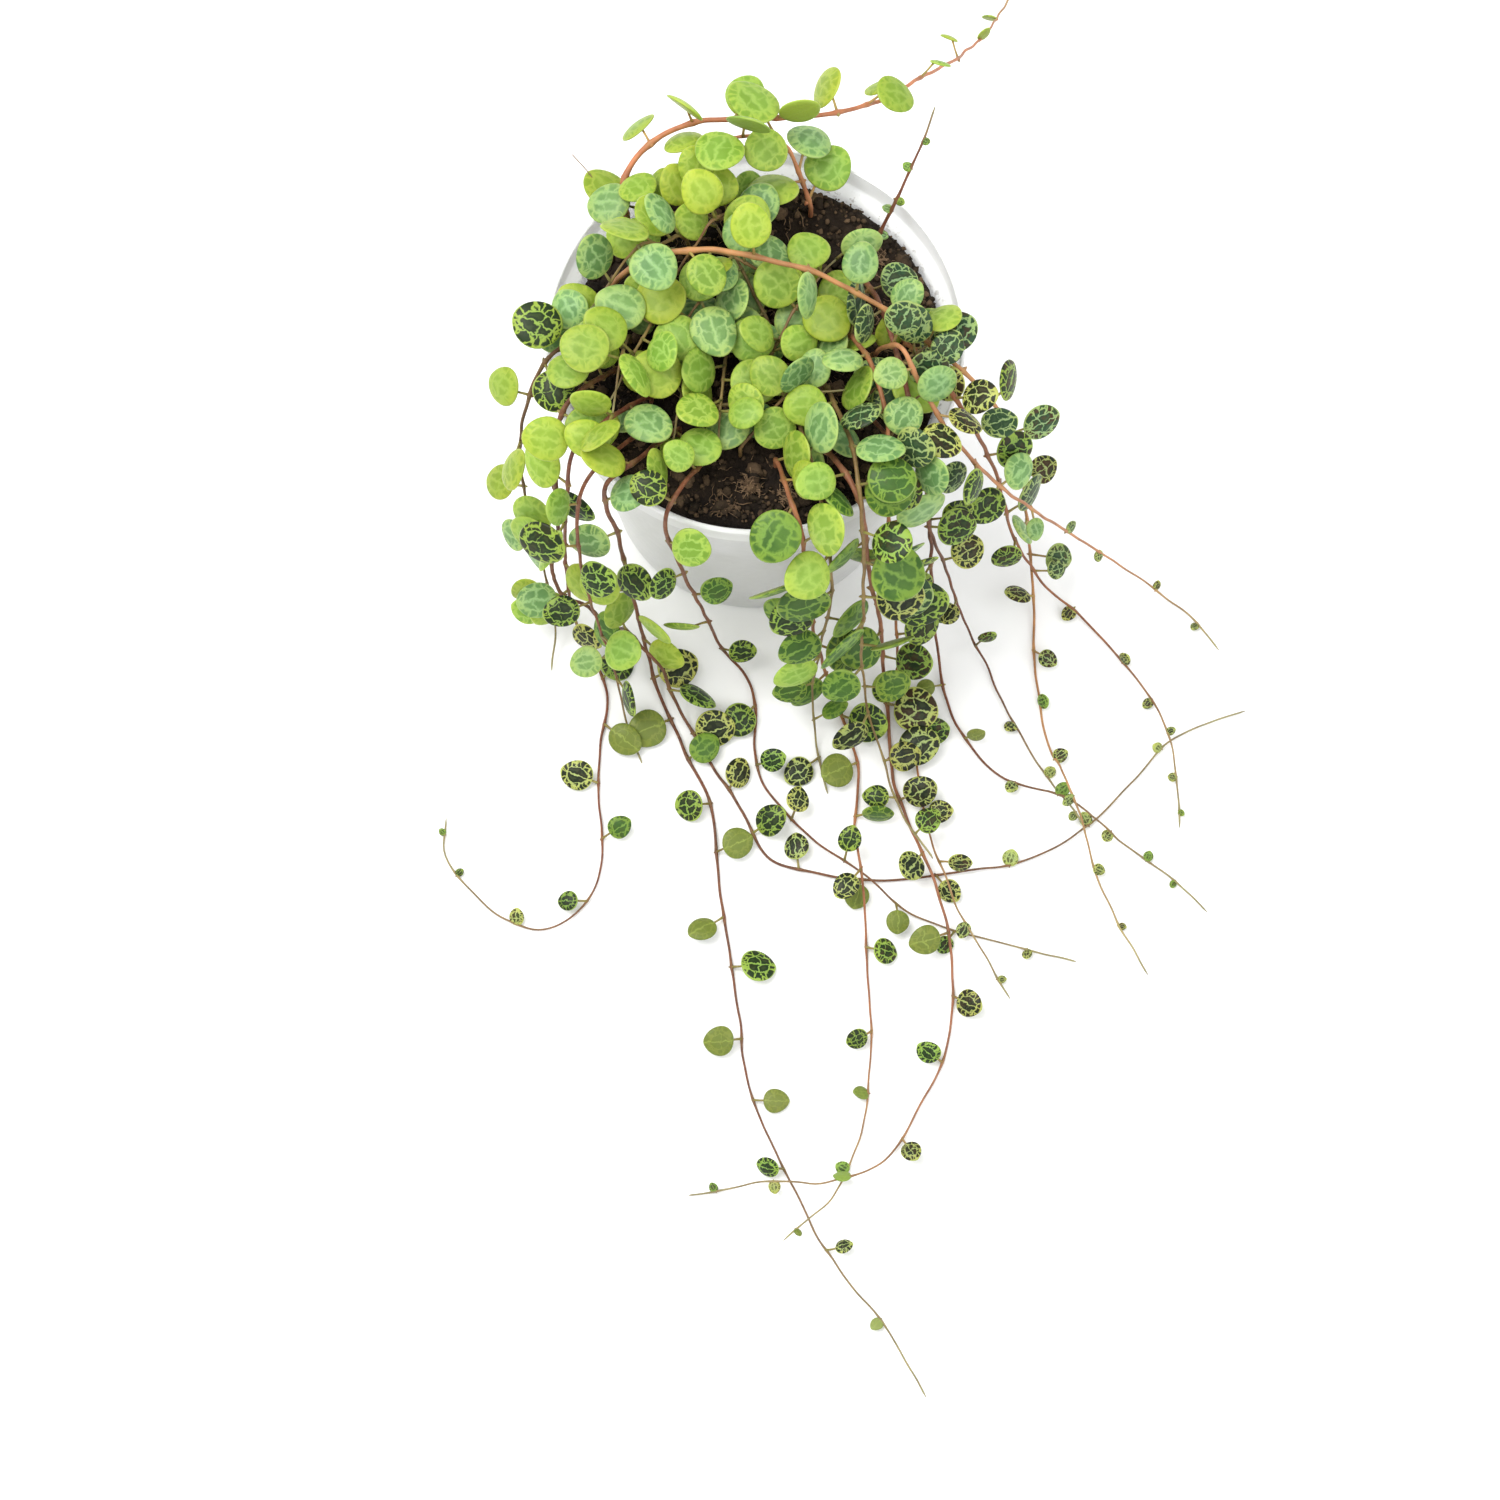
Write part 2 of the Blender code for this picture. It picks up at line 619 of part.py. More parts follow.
def find_leaf(stem, index, turn_side, chance, blockers):
    """The first leaf that fits near a place on the stem, smaller after many tries."""
    last = len(stem["route"]) - 1
    radius = key_value(stem["keys"], index / last, 0) * chance.uniform(*LEAF_SIZES)
    for attempt in range(LEAF_TRIES):
        if attempt == LEAF_TRIES * 2 // 3:
            radius *= LEAF_SHRINK
        side = turn_side if attempt % 3 < 2 else -turn_side
        shift = min(max(index + chance.randint(-1, 1), 1), last) if turn_side else index
        leaf = try_leaf(stem, shift, radius, side, chance, blockers)
        if leaf:
            body = lens(leaf_sides(radius), leaf_matrix(leaf, LEAF_MARGIN))
            blockers.append((stem["name"], leaf["centre"], radius, bvh_of(body)))
            if leaf["stalk"]:
                size = PETIOLE_RADIUS + PETIOLE_GUARD
                body = stick(leaf["root"], leaf["hold"], size, size)
                middle = (leaf["root"] + leaf["hold"]) * 0.5
                length = (leaf["root"] - leaf["hold"]).length
                blockers.append((stem["name"], middle, length * 0.5, bvh_of(body)))
            return [leaf]
    return []


def grow_leaves(stem, blockers, chance):
    """Leaves along a stem, turning from side to side, sized by the stem's keys."""
    route = stem["route"]
    leaves = []
    total = (len(route) - 1) * ROUTE_STEP
    if stem["mound"]:
        leaves += find_leaf(stem, len(route) - 1, 0.0, chance, blockers)
        total -= MOUND_KEYS[-1][1]
    place = ROOT_DEPTH + FIRST_LEAF
    turn_side = 1.0
    while place < total - ROUTE_STEP:
        t = place / total
        index = int(place / ROUTE_STEP)
        leaves += find_leaf(stem, index, turn_side, chance, blockers)
        spread = HANGING_SPREAD
        if stem["mound"]:
            spread = MOUND_SPREAD
        elif in_pot(route[index]):
            spread = START_SPREAD
        elif route[index].z < GROUND_ZONE:
            spread = GROUND_SPREAD
        place += key_value(stem["keys"], t, 1) * spread * chance.uniform(*LEAF_SPACING)
        turn_side = -turn_side
    return leaves


def mound_routes(roots, chance):
    """Short stems that rise from the soil, bow over and come down among the others."""
    routes = {}
    number = 0
    spot = 0
    while number < MOUND_COUNT:
        away = MOUND_RADIUS * math.sqrt((spot % MOUND_SPOTS + 0.4) / MOUND_SPOTS)
        angle = spot * GOLDEN_ANGLE
        spot += 1
        x = away * math.cos(angle)
        y = away * math.sin(angle)
        if any(math.hypot(x - a, y - b) < ROOT_SPACING for a, b in roots):
            continue
        roots.append((x, y))
        heading = angle + chance.uniform(*MOUND_TURN)
        length = chance.uniform(*MOUND_LENGTH)
        top = chance.uniform(*MOUND_TOP)
        end_x = x + math.cos(heading) * length
        end_y = y + math.sin(heading) * length
        inward = min(1.0, MOUND_EDGE / math.hypot(end_x, end_y))
        end_x *= inward
        end_y *= inward
        routes["mound_%02d" % (number + 1)] = [
            (x, y, 0.0),
            (x, y, MOUND_RISE_Z),
            (blend(x, end_x, 0.25), blend(y, end_y, 0.25), top - 3.0),
            (blend(x, end_x, 0.6), blend(y, end_y, 0.6), top),
            (end_x, end_y, chance.uniform(*MOUND_TIP)),
        ]
        number += 1
    return routes


def plan_stems(solids):
    """All stems with clear routes and leaves; the same seed gives the same plant."""
    chance = random.Random(SEED)
    plans = [(name, *values) for name, values in STEMS.items()]
    roots = [(route[0][0], route[0][1]) for _, route, _, _ in plans]
    for name, route in mound_routes(roots, chance).items():
        plans.append((name, route, MOUND_STEM, MOUND_KEYS))
    stems = []
    used = []
    for name, route, thick, keys in plans:
        x, y, _ = route[0]
        foot = soil_height(x, y) - ROOT_DEPTH
        points = [Vector((x, y, foot)), Vector((x, y, foot + ROOT_DEPTH + ROOT_UPRIGHT))]
        points += [Vector(point) for point in route[2:]]
        radius = max(thick)
        smooth = smooth_route(points)
        straight = int(math.ceil((ROOT_DEPTH + ROOT_STRAIGHT) / ROUTE_STEP))
        for index in range(straight + 1):
            smooth[index] = Vector((x, y, foot + index * ROUTE_STEP))
        clear = clear_route(smooth, radius, solids, used)
        stems.append({"name": name, "route": clear, "thick": thick, "keys": keys,
                      "mound": name.startswith("mound")})
        used += [(point, radius) for point in clear]
    return stems, chance


def plan_plant(pot_tree, soil_tree):
    stems, chance = plan_stems([pot_tree, soil_tree])
    blockers = [("pot", None, 0.0, pot_tree), ("soil", None, 0.0, soil_tree)]
    for stem in stems:
        keep = simplify(stem["route"], STEM_TOLERANCE)
        stem["keep"] = keep
        for first, last in zip(keep, keep[1:]):
            a = stem["route"][first]
            b = stem["route"][last]
            body = stick(a, b, stem["thick"][0] + STEM_GUARD, stem["thick"][0] + STEM_GUARD)
            blockers.append((stem["name"], None, 0.0, bvh_of(body)))
    for stem in stems:
        stem["leaves"] = grow_leaves(stem, blockers, chance)
    return stems


def build_pot(collection):
    bm = bmesh.new()
    verts = [bm.verts.new((r * MM, 0.0, z * MM)) for r, z in POT_PROFILE]
    for a, b in zip(verts, verts[1:]):
        bm.edges.new((a, b))
    mesh = bpy.data.meshes.new("pot")
    bm.to_mesh(mesh)
    bm.free()
    pot = bpy.data.objects.new("pot", mesh)
    collection.objects.link(pot)
    screw = pot.modifiers.new("turn", "SCREW")
    screw.steps = POT_STEPS
    screw.render_steps = POT_STEPS
    screw.use_merge_vertices = True
    screw.merge_threshold = MERGE_DISTANCE
    wall = pot.modifiers.new("wall", "SOLIDIFY")
    wall.thickness = POT_WALL * MM
    wall.offset = -1.0
    wall.use_even_offset = True
    apply_modifiers(pot)
    cutters = bpy.data.collections.new("pot_cutters")
    bpy.context.scene.collection.children.link(cutters)
    for k in range(HOLE_COUNT):
        angle = 2.0 * math.pi * (k + 0.5) / HOLE_COUNT
        bm = bmesh.new()
        bmesh.ops.create_cone(bm, cap_ends=True, segments=HOLE_SIDES, radius1=HOLE_RADIUS * MM,
                              radius2=HOLE_RADIUS * MM, depth=HOLE_CUT * MM)
        at = Vector((HOLE_RING * math.cos(angle), HOLE_RING * math.sin(angle), 0.0)) * MM
        bmesh.ops.translate(bm, vec=at, verts=bm.verts)
        cutter = mesh_object("drain_cutter", bm, cutters)
        cutter.hide_render = True
        cutter.display_type = "WIRE"
    cut = pot.modifiers.new("drain_holes", "BOOLEAN")
    cut.operation = "DIFFERENCE"
    cut.operand_type = "COLLECTION"
    cut.collection = cutters
    apply_modifiers(pot)
    drop_collection(cutters)
    return pot


def drop_collection(collection):
    for item in list(collection.objects):
        bpy.data.objects.remove(item, do_unlink=True)
    bpy.data.collections.remove(collection)


def build_soil(collection):
    """Soil body turned from a profile, with a bumpy crumbly top."""
    bm = bmesh.new()
    profile = [(SOIL_RADIUS * k / SOIL_RINGS, SOIL_EDGE_Z) for k in range(SOIL_RINGS + 1)]
    floor = POT_WALL + SEAT_GAP
    profile += [(SOIL_RADIUS, SOIL_EDGE_Z - SOIL_SHOULDER), (SOIL_FOOT_RADIUS, floor), (0.0, floor)]
    verts = [bm.verts.new((r * MM, 0.0, z * MM)) for r, z in profile]
    for a, b in zip(verts, verts[1:]):
        bm.edges.new((a, b))
    mesh = bpy.data.meshes.new("soil")
    bm.to_mesh(mesh)
    bm.free()
    soil = bpy.data.objects.new("soil", mesh)
    collection.objects.link(soil)
    screw = soil.modifiers.new("turn", "SCREW")
    screw.steps = SOIL_STEPS
    screw.render_steps = SOIL_STEPS
    screw.use_merge_vertices = True
    screw.merge_threshold = MERGE_DISTANCE
    apply_modifiers(soil)
    for vert in soil.data.vertices:
        if vert.co.z > (SOIL_EDGE_Z - SOIL_SHOULDER * 0.5) * MM:
            x = vert.co.x / MM
            y = vert.co.y / MM
            vert.co.z = soil_height(x, y) * MM
    return soil


def cut_root_holes(soil, stems):
    cutters = bpy.data.collections.new("root_cutters")
    bpy.context.scene.collection.children.link(cutters)
    for stem in stems:
        foot = stem["route"][0]
        radius = (stem["thick"][0] + ROOT_CLEARANCE) * MM
        depth = (ROOT_DEPTH + ROOT_HOLE_REACH) * MM
        bm = bmesh.new()
        bmesh.ops.create_cone(bm, cap_ends=True, segments=ROOT_SIDES, radius1=radius, radius2=radius,
                              depth=depth)
        at = Vector((foot.x, foot.y, foot.z - ROOT_CLEARANCE)) * MM + Vector((0.0, 0.0, depth * 0.5))
        bmesh.ops.translate(bm, vec=at, verts=bm.verts)
        cutter = mesh_object("root_cutter", bm, cutters)
        cutter.hide_render = True
        cutter.display_type = "WIRE"
    cut = soil.modifiers.new("root_holes", "BOOLEAN")
    cut.operation = "DIFFERENCE"
    cut.operand_type = "COLLECTION"
    cut.collection = cutters
    apply_modifiers(soil)
    drop_collection(cutters)


def tree_of_object(item):
    """Search tree of an object's surface in millimetres."""
    bm = bmesh.new()
    bm.from_mesh(item.data)
    bmesh.ops.scale(bm, vec=(1.0 / MM, 1.0 / MM, 1.0 / MM), verts=bm.verts)
    return bvh_of(bm)


def keep_largest(item):
    """Drops loose scrap and any sealed hollow left by the union."""
    bm = bmesh.new()
    bm.from_mesh(item.data)
    left = set(bm.verts)
    groups = []
    while left:
        stack = [left.pop()]
        group = set(stack)
        while stack:
            vert = stack.pop()
            for edge in vert.link_edges:
                other = edge.other_vert(vert)
                if other in left:
                    left.remove(other)
                    group.add(other)
                    stack.append(other)
        groups.append(group)
    groups.sort(key=len, reverse=True)
    for group in groups[1:]:
        bmesh.ops.delete(bm, geom=list(group), context="VERTS")
    bmesh.ops.triangulate(bm, faces=bm.faces)
    bm.to_mesh(item.data)
    bm.free()


def build_stem(stem, collection):
    repeats = bpy.data.collections.new(stem["name"] + "_repeats")
    bpy.context.scene.collection.children.link(repeats)
    route = stem["route"]
    keep = stem["keep"]
    points = [route[index] for index in keep]
    radii = [stem_radius(stem, index / (len(route) - 1)) for index in keep]
    body = mesh_object(stem["name"], tube_mesh(points, radii, stem["name"]), collection)
    for leaf in stem["leaves"]:
        bm = lens(leaf_sides(leaf["radius"]), Matrix.Scale(MM, 4) @ leaf_matrix(leaf, 0.0))
        mesh_object("leaf", bm, repeats)
        if leaf["stalk"]:
            bm = stick(leaf["root"], leaf["hold"], PETIOLE_RADIUS, PETIOLE_RADIUS)
            bmesh.ops.scale(bm, vec=(MM, MM, MM), verts=bm.verts)
            mesh_object("petiole", bm, repeats)
    if stem["leaves"]:
        join = body.modifiers.new("join_leaves", "BOOLEAN")
        join.operation = "UNION"
        join.operand_type = "COLLECTION"
        join.collection = repeats
        join.solver = "MANIFOLD"
        apply_modifiers(body)
    drop_collection(repeats)
    keep_largest(body)
    return body


def main():
    clear_file()
    plant = bpy.data.collections.new("potted_string_of_turtles")
    bpy.context.scene.collection.children.link(plant)
    pot = build_pot(plant)
    soil = build_soil(plant)
    stems = plan_plant(tree_of_object(pot), tree_of_object(soil))
    cut_root_holes(soil, stems)
    add_material(pot, *POT_FINISH)
    add_material(soil, *SOIL_FINISH)
    for stem in stems:
        body = build_stem(stem, plant)
        add_material(body, *FOLIAGE_FINISH)


main()
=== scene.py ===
import json
import math
import random

import bmesh
import bpy
import numpy as np
from mathutils import Matrix, Vector, noise
from mathutils.bvhtree import BVHTree
from mathutils.kdtree import KDTree

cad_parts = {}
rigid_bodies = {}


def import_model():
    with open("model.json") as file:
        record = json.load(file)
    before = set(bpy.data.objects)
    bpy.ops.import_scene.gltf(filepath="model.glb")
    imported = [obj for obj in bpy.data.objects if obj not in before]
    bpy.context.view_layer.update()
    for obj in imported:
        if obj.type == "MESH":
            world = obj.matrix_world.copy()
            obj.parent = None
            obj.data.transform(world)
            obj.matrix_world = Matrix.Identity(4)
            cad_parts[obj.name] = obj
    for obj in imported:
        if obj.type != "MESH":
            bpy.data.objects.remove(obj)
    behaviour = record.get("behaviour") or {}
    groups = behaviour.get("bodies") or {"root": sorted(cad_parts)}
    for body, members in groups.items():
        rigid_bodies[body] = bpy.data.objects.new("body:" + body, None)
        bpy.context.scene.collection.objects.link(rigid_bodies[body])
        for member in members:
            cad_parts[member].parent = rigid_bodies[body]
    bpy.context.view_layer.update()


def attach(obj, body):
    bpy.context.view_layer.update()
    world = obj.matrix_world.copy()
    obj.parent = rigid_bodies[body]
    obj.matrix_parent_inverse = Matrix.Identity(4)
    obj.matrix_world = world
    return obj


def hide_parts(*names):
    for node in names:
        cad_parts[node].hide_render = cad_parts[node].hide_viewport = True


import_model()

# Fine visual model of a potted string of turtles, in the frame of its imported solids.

# Layout of the solids, repeated from the part's source, in millimetres

MM = 0.001
SEED = 5

MERGE_DISTANCE = 0.00001
TURN = 2.0 * math.pi
LOOKS_SEED = 100
SHARP_ANGLE = math.radians(40.0)

# Studio: lights of (name, place, size, power, colour)
WORLD_LIGHT = 0.85
LIGHT_AIM = (0.0, -0.03, 0.05)
LIGHTS = [("key", (-0.6, 0.1, 1.5), 1.0, 22.0, (1.0, 0.99, 0.97)),
          ("fill", (0.9, -0.8, 1.3), 1.5, 12.0, (0.98, 0.99, 1.0))]
FLOOR_HALF = 3.0
SENSOR_WIDTH = 36.0

# Pot
POT_HEIGHT = 92.0
POT_WALL = 1.0
POT_STEPS = 30
POT_PROFILE = [(51.9, 92.0), (52.5, 91.2), (52.3, 84.4), (48.9, 82.8), (38.1, 1.0), (37.0, 0.0), (0.0, 0.0)]
HOLE_COUNT = 5
HOLE_RADIUS = 3.0
HOLE_RING = 27.0
HOLE_SIDES = 8
HOLE_CUT = 6.0

# Soil
SEAT_GAP = 0.3
SOIL_RADIUS = 47.2
SOIL_FOOT_RADIUS = 36.6
SOIL_EDGE_Z = 84.2
SOIL_SHOULDER = 3.0
SOIL_MOUND = 3.6
SOIL_BUMP = 1.5
SOIL_GRAIN = 0.11
SOIL_STEPS = 24
SOIL_RINGS = 5
ROOT_DEPTH = 5.0
ROOT_UPRIGHT = 4.0
ROOT_STRAIGHT = 1.5

# Stems
GROUND_Z = 1
ROUTE_STEP = 1.5
ROUTE_FINENESS = 16
STEM_TOLERANCE = 0.7
STEM_CLEARANCE = 1.7
WALL_CLEARANCE = 0.8
GROUND_CLEARANCE = 0.3
STEM_GUARD = 0.5
CLEARANCE_SEARCH = 4.0
LIFT_STEP = 0.3
LIFT_MOST = 14.0
LIFT_REACH = 14.0
LIFT_ROUNDS = 4
RIM_GUARD = 40.0
HANG_LOW = (8.0, 28.0)
HANG_HIGH = 6.0

# Leaves
LEAF_SIDES = 7
SMALL_LEAF_SIDES = 6
SMALL_LEAF_RADIUS = 5.6
TINY_LEAF_SIDES = 5
TINY_LEAF_RADIUS = 3.6
BUD_RADIUS = 2.3
LEAF_ASPECT = (0.86, 1.0)
LEAF_TAPER = 0.1
LEAF_MARGIN = 0.35
LEAF_TRIES = 54
LEAF_TILT = (0.1, 1.15)
LEAF_SIZES = (0.84, 1.12)
LEAF_HOLD = 0.55
LEAF_SHRINK = 0.88
LEAF_FORWARD = (-0.5, 0.9)
LEAF_UPWARD = (-0.15, 0.5)
LEAF_SPACING = (0.8, 1.2)
BUD_SEAT = 0.84
FIRST_LEAF = 7.0
GROUND_ZONE = 8.0
HANGING_SPREAD = 1.38
GROUND_SPREAD = 1.0
MOUND_SPREAD = 0.82
START_SPREAD = 0.78
PETIOLE_RADIUS = 0.38
STALK_ROOM = 0.58
PETIOLE_REACH = (0.9, 2.8)
PETIOLE_RISE = (0.5, 4.5)
MOUND_RISE = (1.5, 6.0)
BARE_PATCH = (-3.0, -41.0)
BARE_HALF = (12.0, 9.0)

# Each stem: its root, points of its route in the air (x, y, z) and on the ground (x, y),
# thickness at both ends, and leaf keys of (place along the stem, leaf radius, distance to
# the next leaf).
STEMS = {
    "vine_left_hook": (
        (-26, -15), [(-37, -27, 102), (-45, -34, 99), (-47, -39, 80), (-49, -41, 40), (-48, -43, 10)],
        [(-44, -51), (-39, -63), (-41, -78), (-41, -93), (-40, -108), (-45, -121), (-55, -127),
         (-66, -124), (-75, -116), (-81, -107), (-81, -97)],
        (0.6, 0.35), [(0.0, 5.8, 12), (0.35, 6.2, 11), (0.5, 4.6, 17), (0.75, 3.6, 20), (0.9, 1.6, 16),
                      (1.0, 1.0, 12)]),
    "vine_front_long": (
        (-19, -24), [(-30, -38, 102), (-37, -44, 99), (-34, -47, 72), (-31, -50, 36), (-28, -55, 8)],
        [(-24, -66), (-19, -78), (-12, -93), (-9, -119), (-5, -144), (-2, -168), (4, -184), (12, -201),
         (21, -217), (33, -232), (43, -250)],
        (0.65, 0.35), [(0.0, 5.6, 11), (0.35, 5.4, 11), (0.5, 5.0, 16), (0.7, 4.3, 18), (0.86, 2.6, 20),
                       (1.0, 1.0, 40)]),
    "vine_cross_right": (
        (-33, -7), [(-42, -18, 102), (-48, -25, 99), (-50, -31, 80), (-50, -36, 50), (-45, -42, 20),
                    (-35, -48, 3)],
        [(-25, -59), (-17, -73), (-5, -92), (2, -106), (12, -111), (33, -114), (52, -112), (72, -108),
         (87, -99), (100, -86), (109, -76), (121, -70), (130, -67)],
        (0.65, 0.35), [(0.0, 5.6, 11), (0.35, 5.2, 12), (0.5, 4.8, 15), (0.66, 3.8, 20), (0.8, 2.2, 26),
                       (1.0, 1.0, 24)]),
    "vine_front_left": (
        (-11, -31), [(-18, -44, 101), (-22, -52, 98), (-19, -54, 74), (-14, -53, 42), (-9, -53, 12),
                     (-3, -57, 2)],
        [(0, -66), (0, -78), (3, -89), (15, -103), (28, -113), (41, -123), (60, -130), (83, -136)],
        (0.6, 0.35), [(0.0, 5.4, 12), (0.4, 4.6, 14), (0.6, 4.0, 16), (0.8, 3.2, 22), (1.0, 1.0, 16)]),
    "vine_centre": (
        (5, -32), [(8, -45, 101), (11, -54, 98), (13, -57, 72), (15, -58, 40), (19, -61, 8)],
        [(23, -69), (27, -82), (26, -100), (28, -117), (29, -138), (30, -157), (27, -181), (20, -198),
         (7, -210)],
        (0.6, 0.35), [(0.0, 6.2, 11), (0.3, 7.0, 11), (0.45, 5.4, 12), (0.6, 4.2, 18), (0.8, 2.8, 22),
                      (1.0, 1.0, 18)]),
    "vine_front_sweep": (
        (14, -26), [(21, -40, 103), (26, -49, 99), (28, -52, 70), (32, -54, 36), (34, -58, 6)],
        [(35, -71), (37, -89), (43, -106), (49, -123), (51, -141), (49, -160), (42, -175), (33, -189),
         (19, -195), (1, -195), (-17, -198)],
        (0.75, 0.35), [(0.0, 6.2, 11), (0.3, 6.8, 11), (0.45, 5.4, 12), (0.65, 3.8, 19), (0.85, 2.4, 22),
                       (1.0, 1.0, 16)]),
    "vine_right_inner": (
        (24, -17), [(32, -31, 103), (38, -40, 98), (43, -43, 76), (49, -45, 46), (55, -47, 14),
                    (61, -54, 2)],
        [(67, -68), (74, -81), (81, -92), (86, -100)],
        (0.6, 0.35), [(0.0, 5.8, 12), (0.4, 5.0, 15), (0.6, 3.0, 22), (1.0, 1.2, 16)]),
    "vine_right_middle": (
        (19, 4), [(27, -10, 105), (32, -27, 106), (32, -44, 100), (34, -49, 70), (36, -52, 38),
                  (38, -57, 8)],
        [(41, -70), (43, -86), (46, -104), (52, -121), (60, -136), (66, -146)],
        (0.65, 0.35), [(0.0, 6.0, 12), (0.35, 6.4, 11), (0.5, 5.4, 12), (0.7, 4.2, 15), (0.88, 2.4, 18),
                       (1.0, 1.0, 14)]),
    "vine_right_red": (
        (26, 18), [(31, 2, 105), (36, -16, 106), (41, -35, 99), (44, -40, 66), (46, -44, 32),
                   (48, -51, 6)],
        [(50, -62), (54, -73), (64, -85), (81, -93), (93, -102), (107, -112), (118, -123)],
        (0.75, 0.35), [(0.0, 5.4, 13), (0.4, 5.0, 16), (0.6, 3.2, 17), (0.8, 2.0, 15), (1.0, 1.0, 11)]),
    "vine_orange": (
        (-37, 14), [(-27, 14, 108), (-14, 14, 113), (1, 11, 115), (18, 6, 114), (36, -3, 108),
                    (45, -9, 104), (52, -13, 99), (61, -15, 80), (68, -19, 50), (72, -26, 20),
                    (74, -38, 3)],
        [(74, -53), (76, -71), (81, -88), (87, -107), (94, -125), (102, -140)],
        (0.8, 0.35), [(0.0, 5.4, 20), (0.4, 5.2, 13), (0.6, 4.4, 12), (0.76, 2.4, 15), (1.0, 1.0, 18)]),
    "vine_right_high": (
        (29, -4), [(38, -18, 103), (47, -29, 101), (57, -34, 86), (70, -34, 62), (84, -31, 34),
                   (99, -32, 12), (109, -35, 2)],
        [(117, -42), (123, -50)],
        (0.65, 0.35), [(0.0, 5.2, 12), (0.4, 4.8, 12), (0.6, 2.0, 16), (1.0, 1.0, 15)]),
    "vine_right_outer": (
        (37, 0), [(43, -13, 103), (51, -24, 102), (60, -27, 72), (67, -31, 36), (77, -35, 9),
                  (86, -40, 2)],
        [(94, -49), (103, -61), (109, -76), (111, -89), (111, -100)],
        (0.65, 0.35), [(0.0, 5.2, 11), (0.45, 5.0, 10), (0.62, 3.0, 15), (0.8, 1.6, 14), (1.0, 1.0, 12)]),
    "vine_back_long": (
        (-30, 25), [(-33, 37, 101), (-26, 47, 106), (-14, 51, 109), (2, 52, 109), (16, 54, 107),
                    (29, 61, 99), (42, 78, 80), (54, 98, 54), (63, 120, 26), (69, 138, 6)],
        [(73, 148), (78, 160)],
        (0.8, 0.45), [(0.0, 5.4, 9), (0.4, 6.2, 9), (0.5, 3.0, 24), (0.8, 2.4, 20), (1.0, 1.2, 30)]),
    "arch_back": (
        (14, 37), [(8, 45, 106), (1, 46, 111), (-10, 44, 112), (-20, 38, 108)],
        [], (0.65, 0.45), [(0.0, 5.8, 7), (0.5, 6.4, 7), (1.0, 5.4, 7)]),
    "shoot_back_right": (
        (31, 29), [(38, 39, 102), (42, 47, 108), (45, 54, 112)],
        [], (0.55, 0.4), [(0.0, 1.2, 6), (1.0, 1.2, 6)]),
    "cluster_centre_left": (
        (10, -21), [(14, -40, 104), (17, -53, 99), (19, -60, 74), (17, -63, 44), (15, -66, 14),
                    (16, -76, 2)],
        [(19, -90)],
        (0.6, 0.4), [(0.0, 6.2, 11), (0.4, 7.2, 10), (0.7, 6.0, 10), (1.0, 3.2, 10)]),
    "cluster_centre": (
        (17, -12), [(23, -34, 106), (26, -52, 101), (27, -62, 74), (27, -66, 44), (29, -69, 14),
                    (33, -80, 2)],
        [(38, -96), (46, -110)],
        (0.6, 0.4), [(0.0, 6.2, 12), (0.4, 7.0, 10), (0.7, 5.6, 10), (1.0, 3.0, 11)]),
    "cluster_left": (
        (-27, -24), [(-36, -37, 103), (-43, -45, 98), (-44, -52, 74), (-41, -56, 44), (-37, -60, 14),
                     (-34, -70, 2)],
        [(-30, -82)],
        (0.6, 0.4), [(0.0, 5.6, 12), (0.4, 5.8, 11), (0.8, 5.2, 11), (1.0, 3.2, 10)]),
    "cluster_far_left": (
        (-38, 4), [(-47, -6, 101), (-54, -12, 97), (-59, -19, 76), (-59, -27, 50), (-55, -36, 24),
                   (-53, -46, 6)],
        [(-54, -56)],
        (0.6, 0.4), [(0.0, 5.6, 11), (0.5, 5.6, 11), (0.8, 5.0, 12), (1.0, 3.2, 10)]),
}

# Where the leaves of a stem face, where that isn't up and a little to the front
FACING = {
    "vine_back_long": (-0.1, 0.75, 0.75),
    "arch_back": (-0.2, 0.35, 1.0),
}
PLAIN_FACING = (0.0, -0.32, 1.0)
SIDE_FACING = 0.9

# Short leafy stems that make the mound, placed by rule
MOUND_COUNT = 14
MOUND_RADIUS = 37.0
MOUND_LENGTH = (30.0, 42.0)
MOUND_TOP = (95.0, 102.0)
MOUND_TIP = (93.0, 98.0)
MOUND_EDGE = 44.0
MOUND_TURN = (1.2, 2.6)
MOUND_KEYS = [(0.0, 5.6, 7), (0.6, 6.0, 7), (1.0, 5.2, 7)]
MOUND_STEM = (0.55, 0.4)
MOUND_SPOTS = 24
ROOT_SPACING = 5.0
GOLDEN_ANGLE = math.radians(137.508)



def apply_modifiers(item):
    graph = bpy.context.evaluated_depsgraph_get()
    mesh = bpy.data.meshes.new_from_object(item.evaluated_get(graph))
    old = item.data
    item.modifiers.clear()
    item.data = mesh
    bpy.data.meshes.remove(old)


def blend(a, b, t):
    return a + (b - a) * t


def polar(away, angle):
    return away * math.cos(angle), away * math.sin(angle)


def key_value(keys, t, column):
    for (t0, *low), (t1, *high) in zip(keys, keys[1:]):
        if t <= t1:
            return blend(low[column], high[column], (t - t0) / (t1 - t0))
    return keys[-1][1 + column]


def soil_height(x, y):
    away = math.hypot(x, y) / SOIL_RADIUS
    bumps = noise.noise(Vector((x * SOIL_GRAIN, y * SOIL_GRAIN, 3.7)))
    return SOIL_EDGE_Z + SOIL_MOUND * (1.0 - away * away) + SOIL_BUMP * bumps


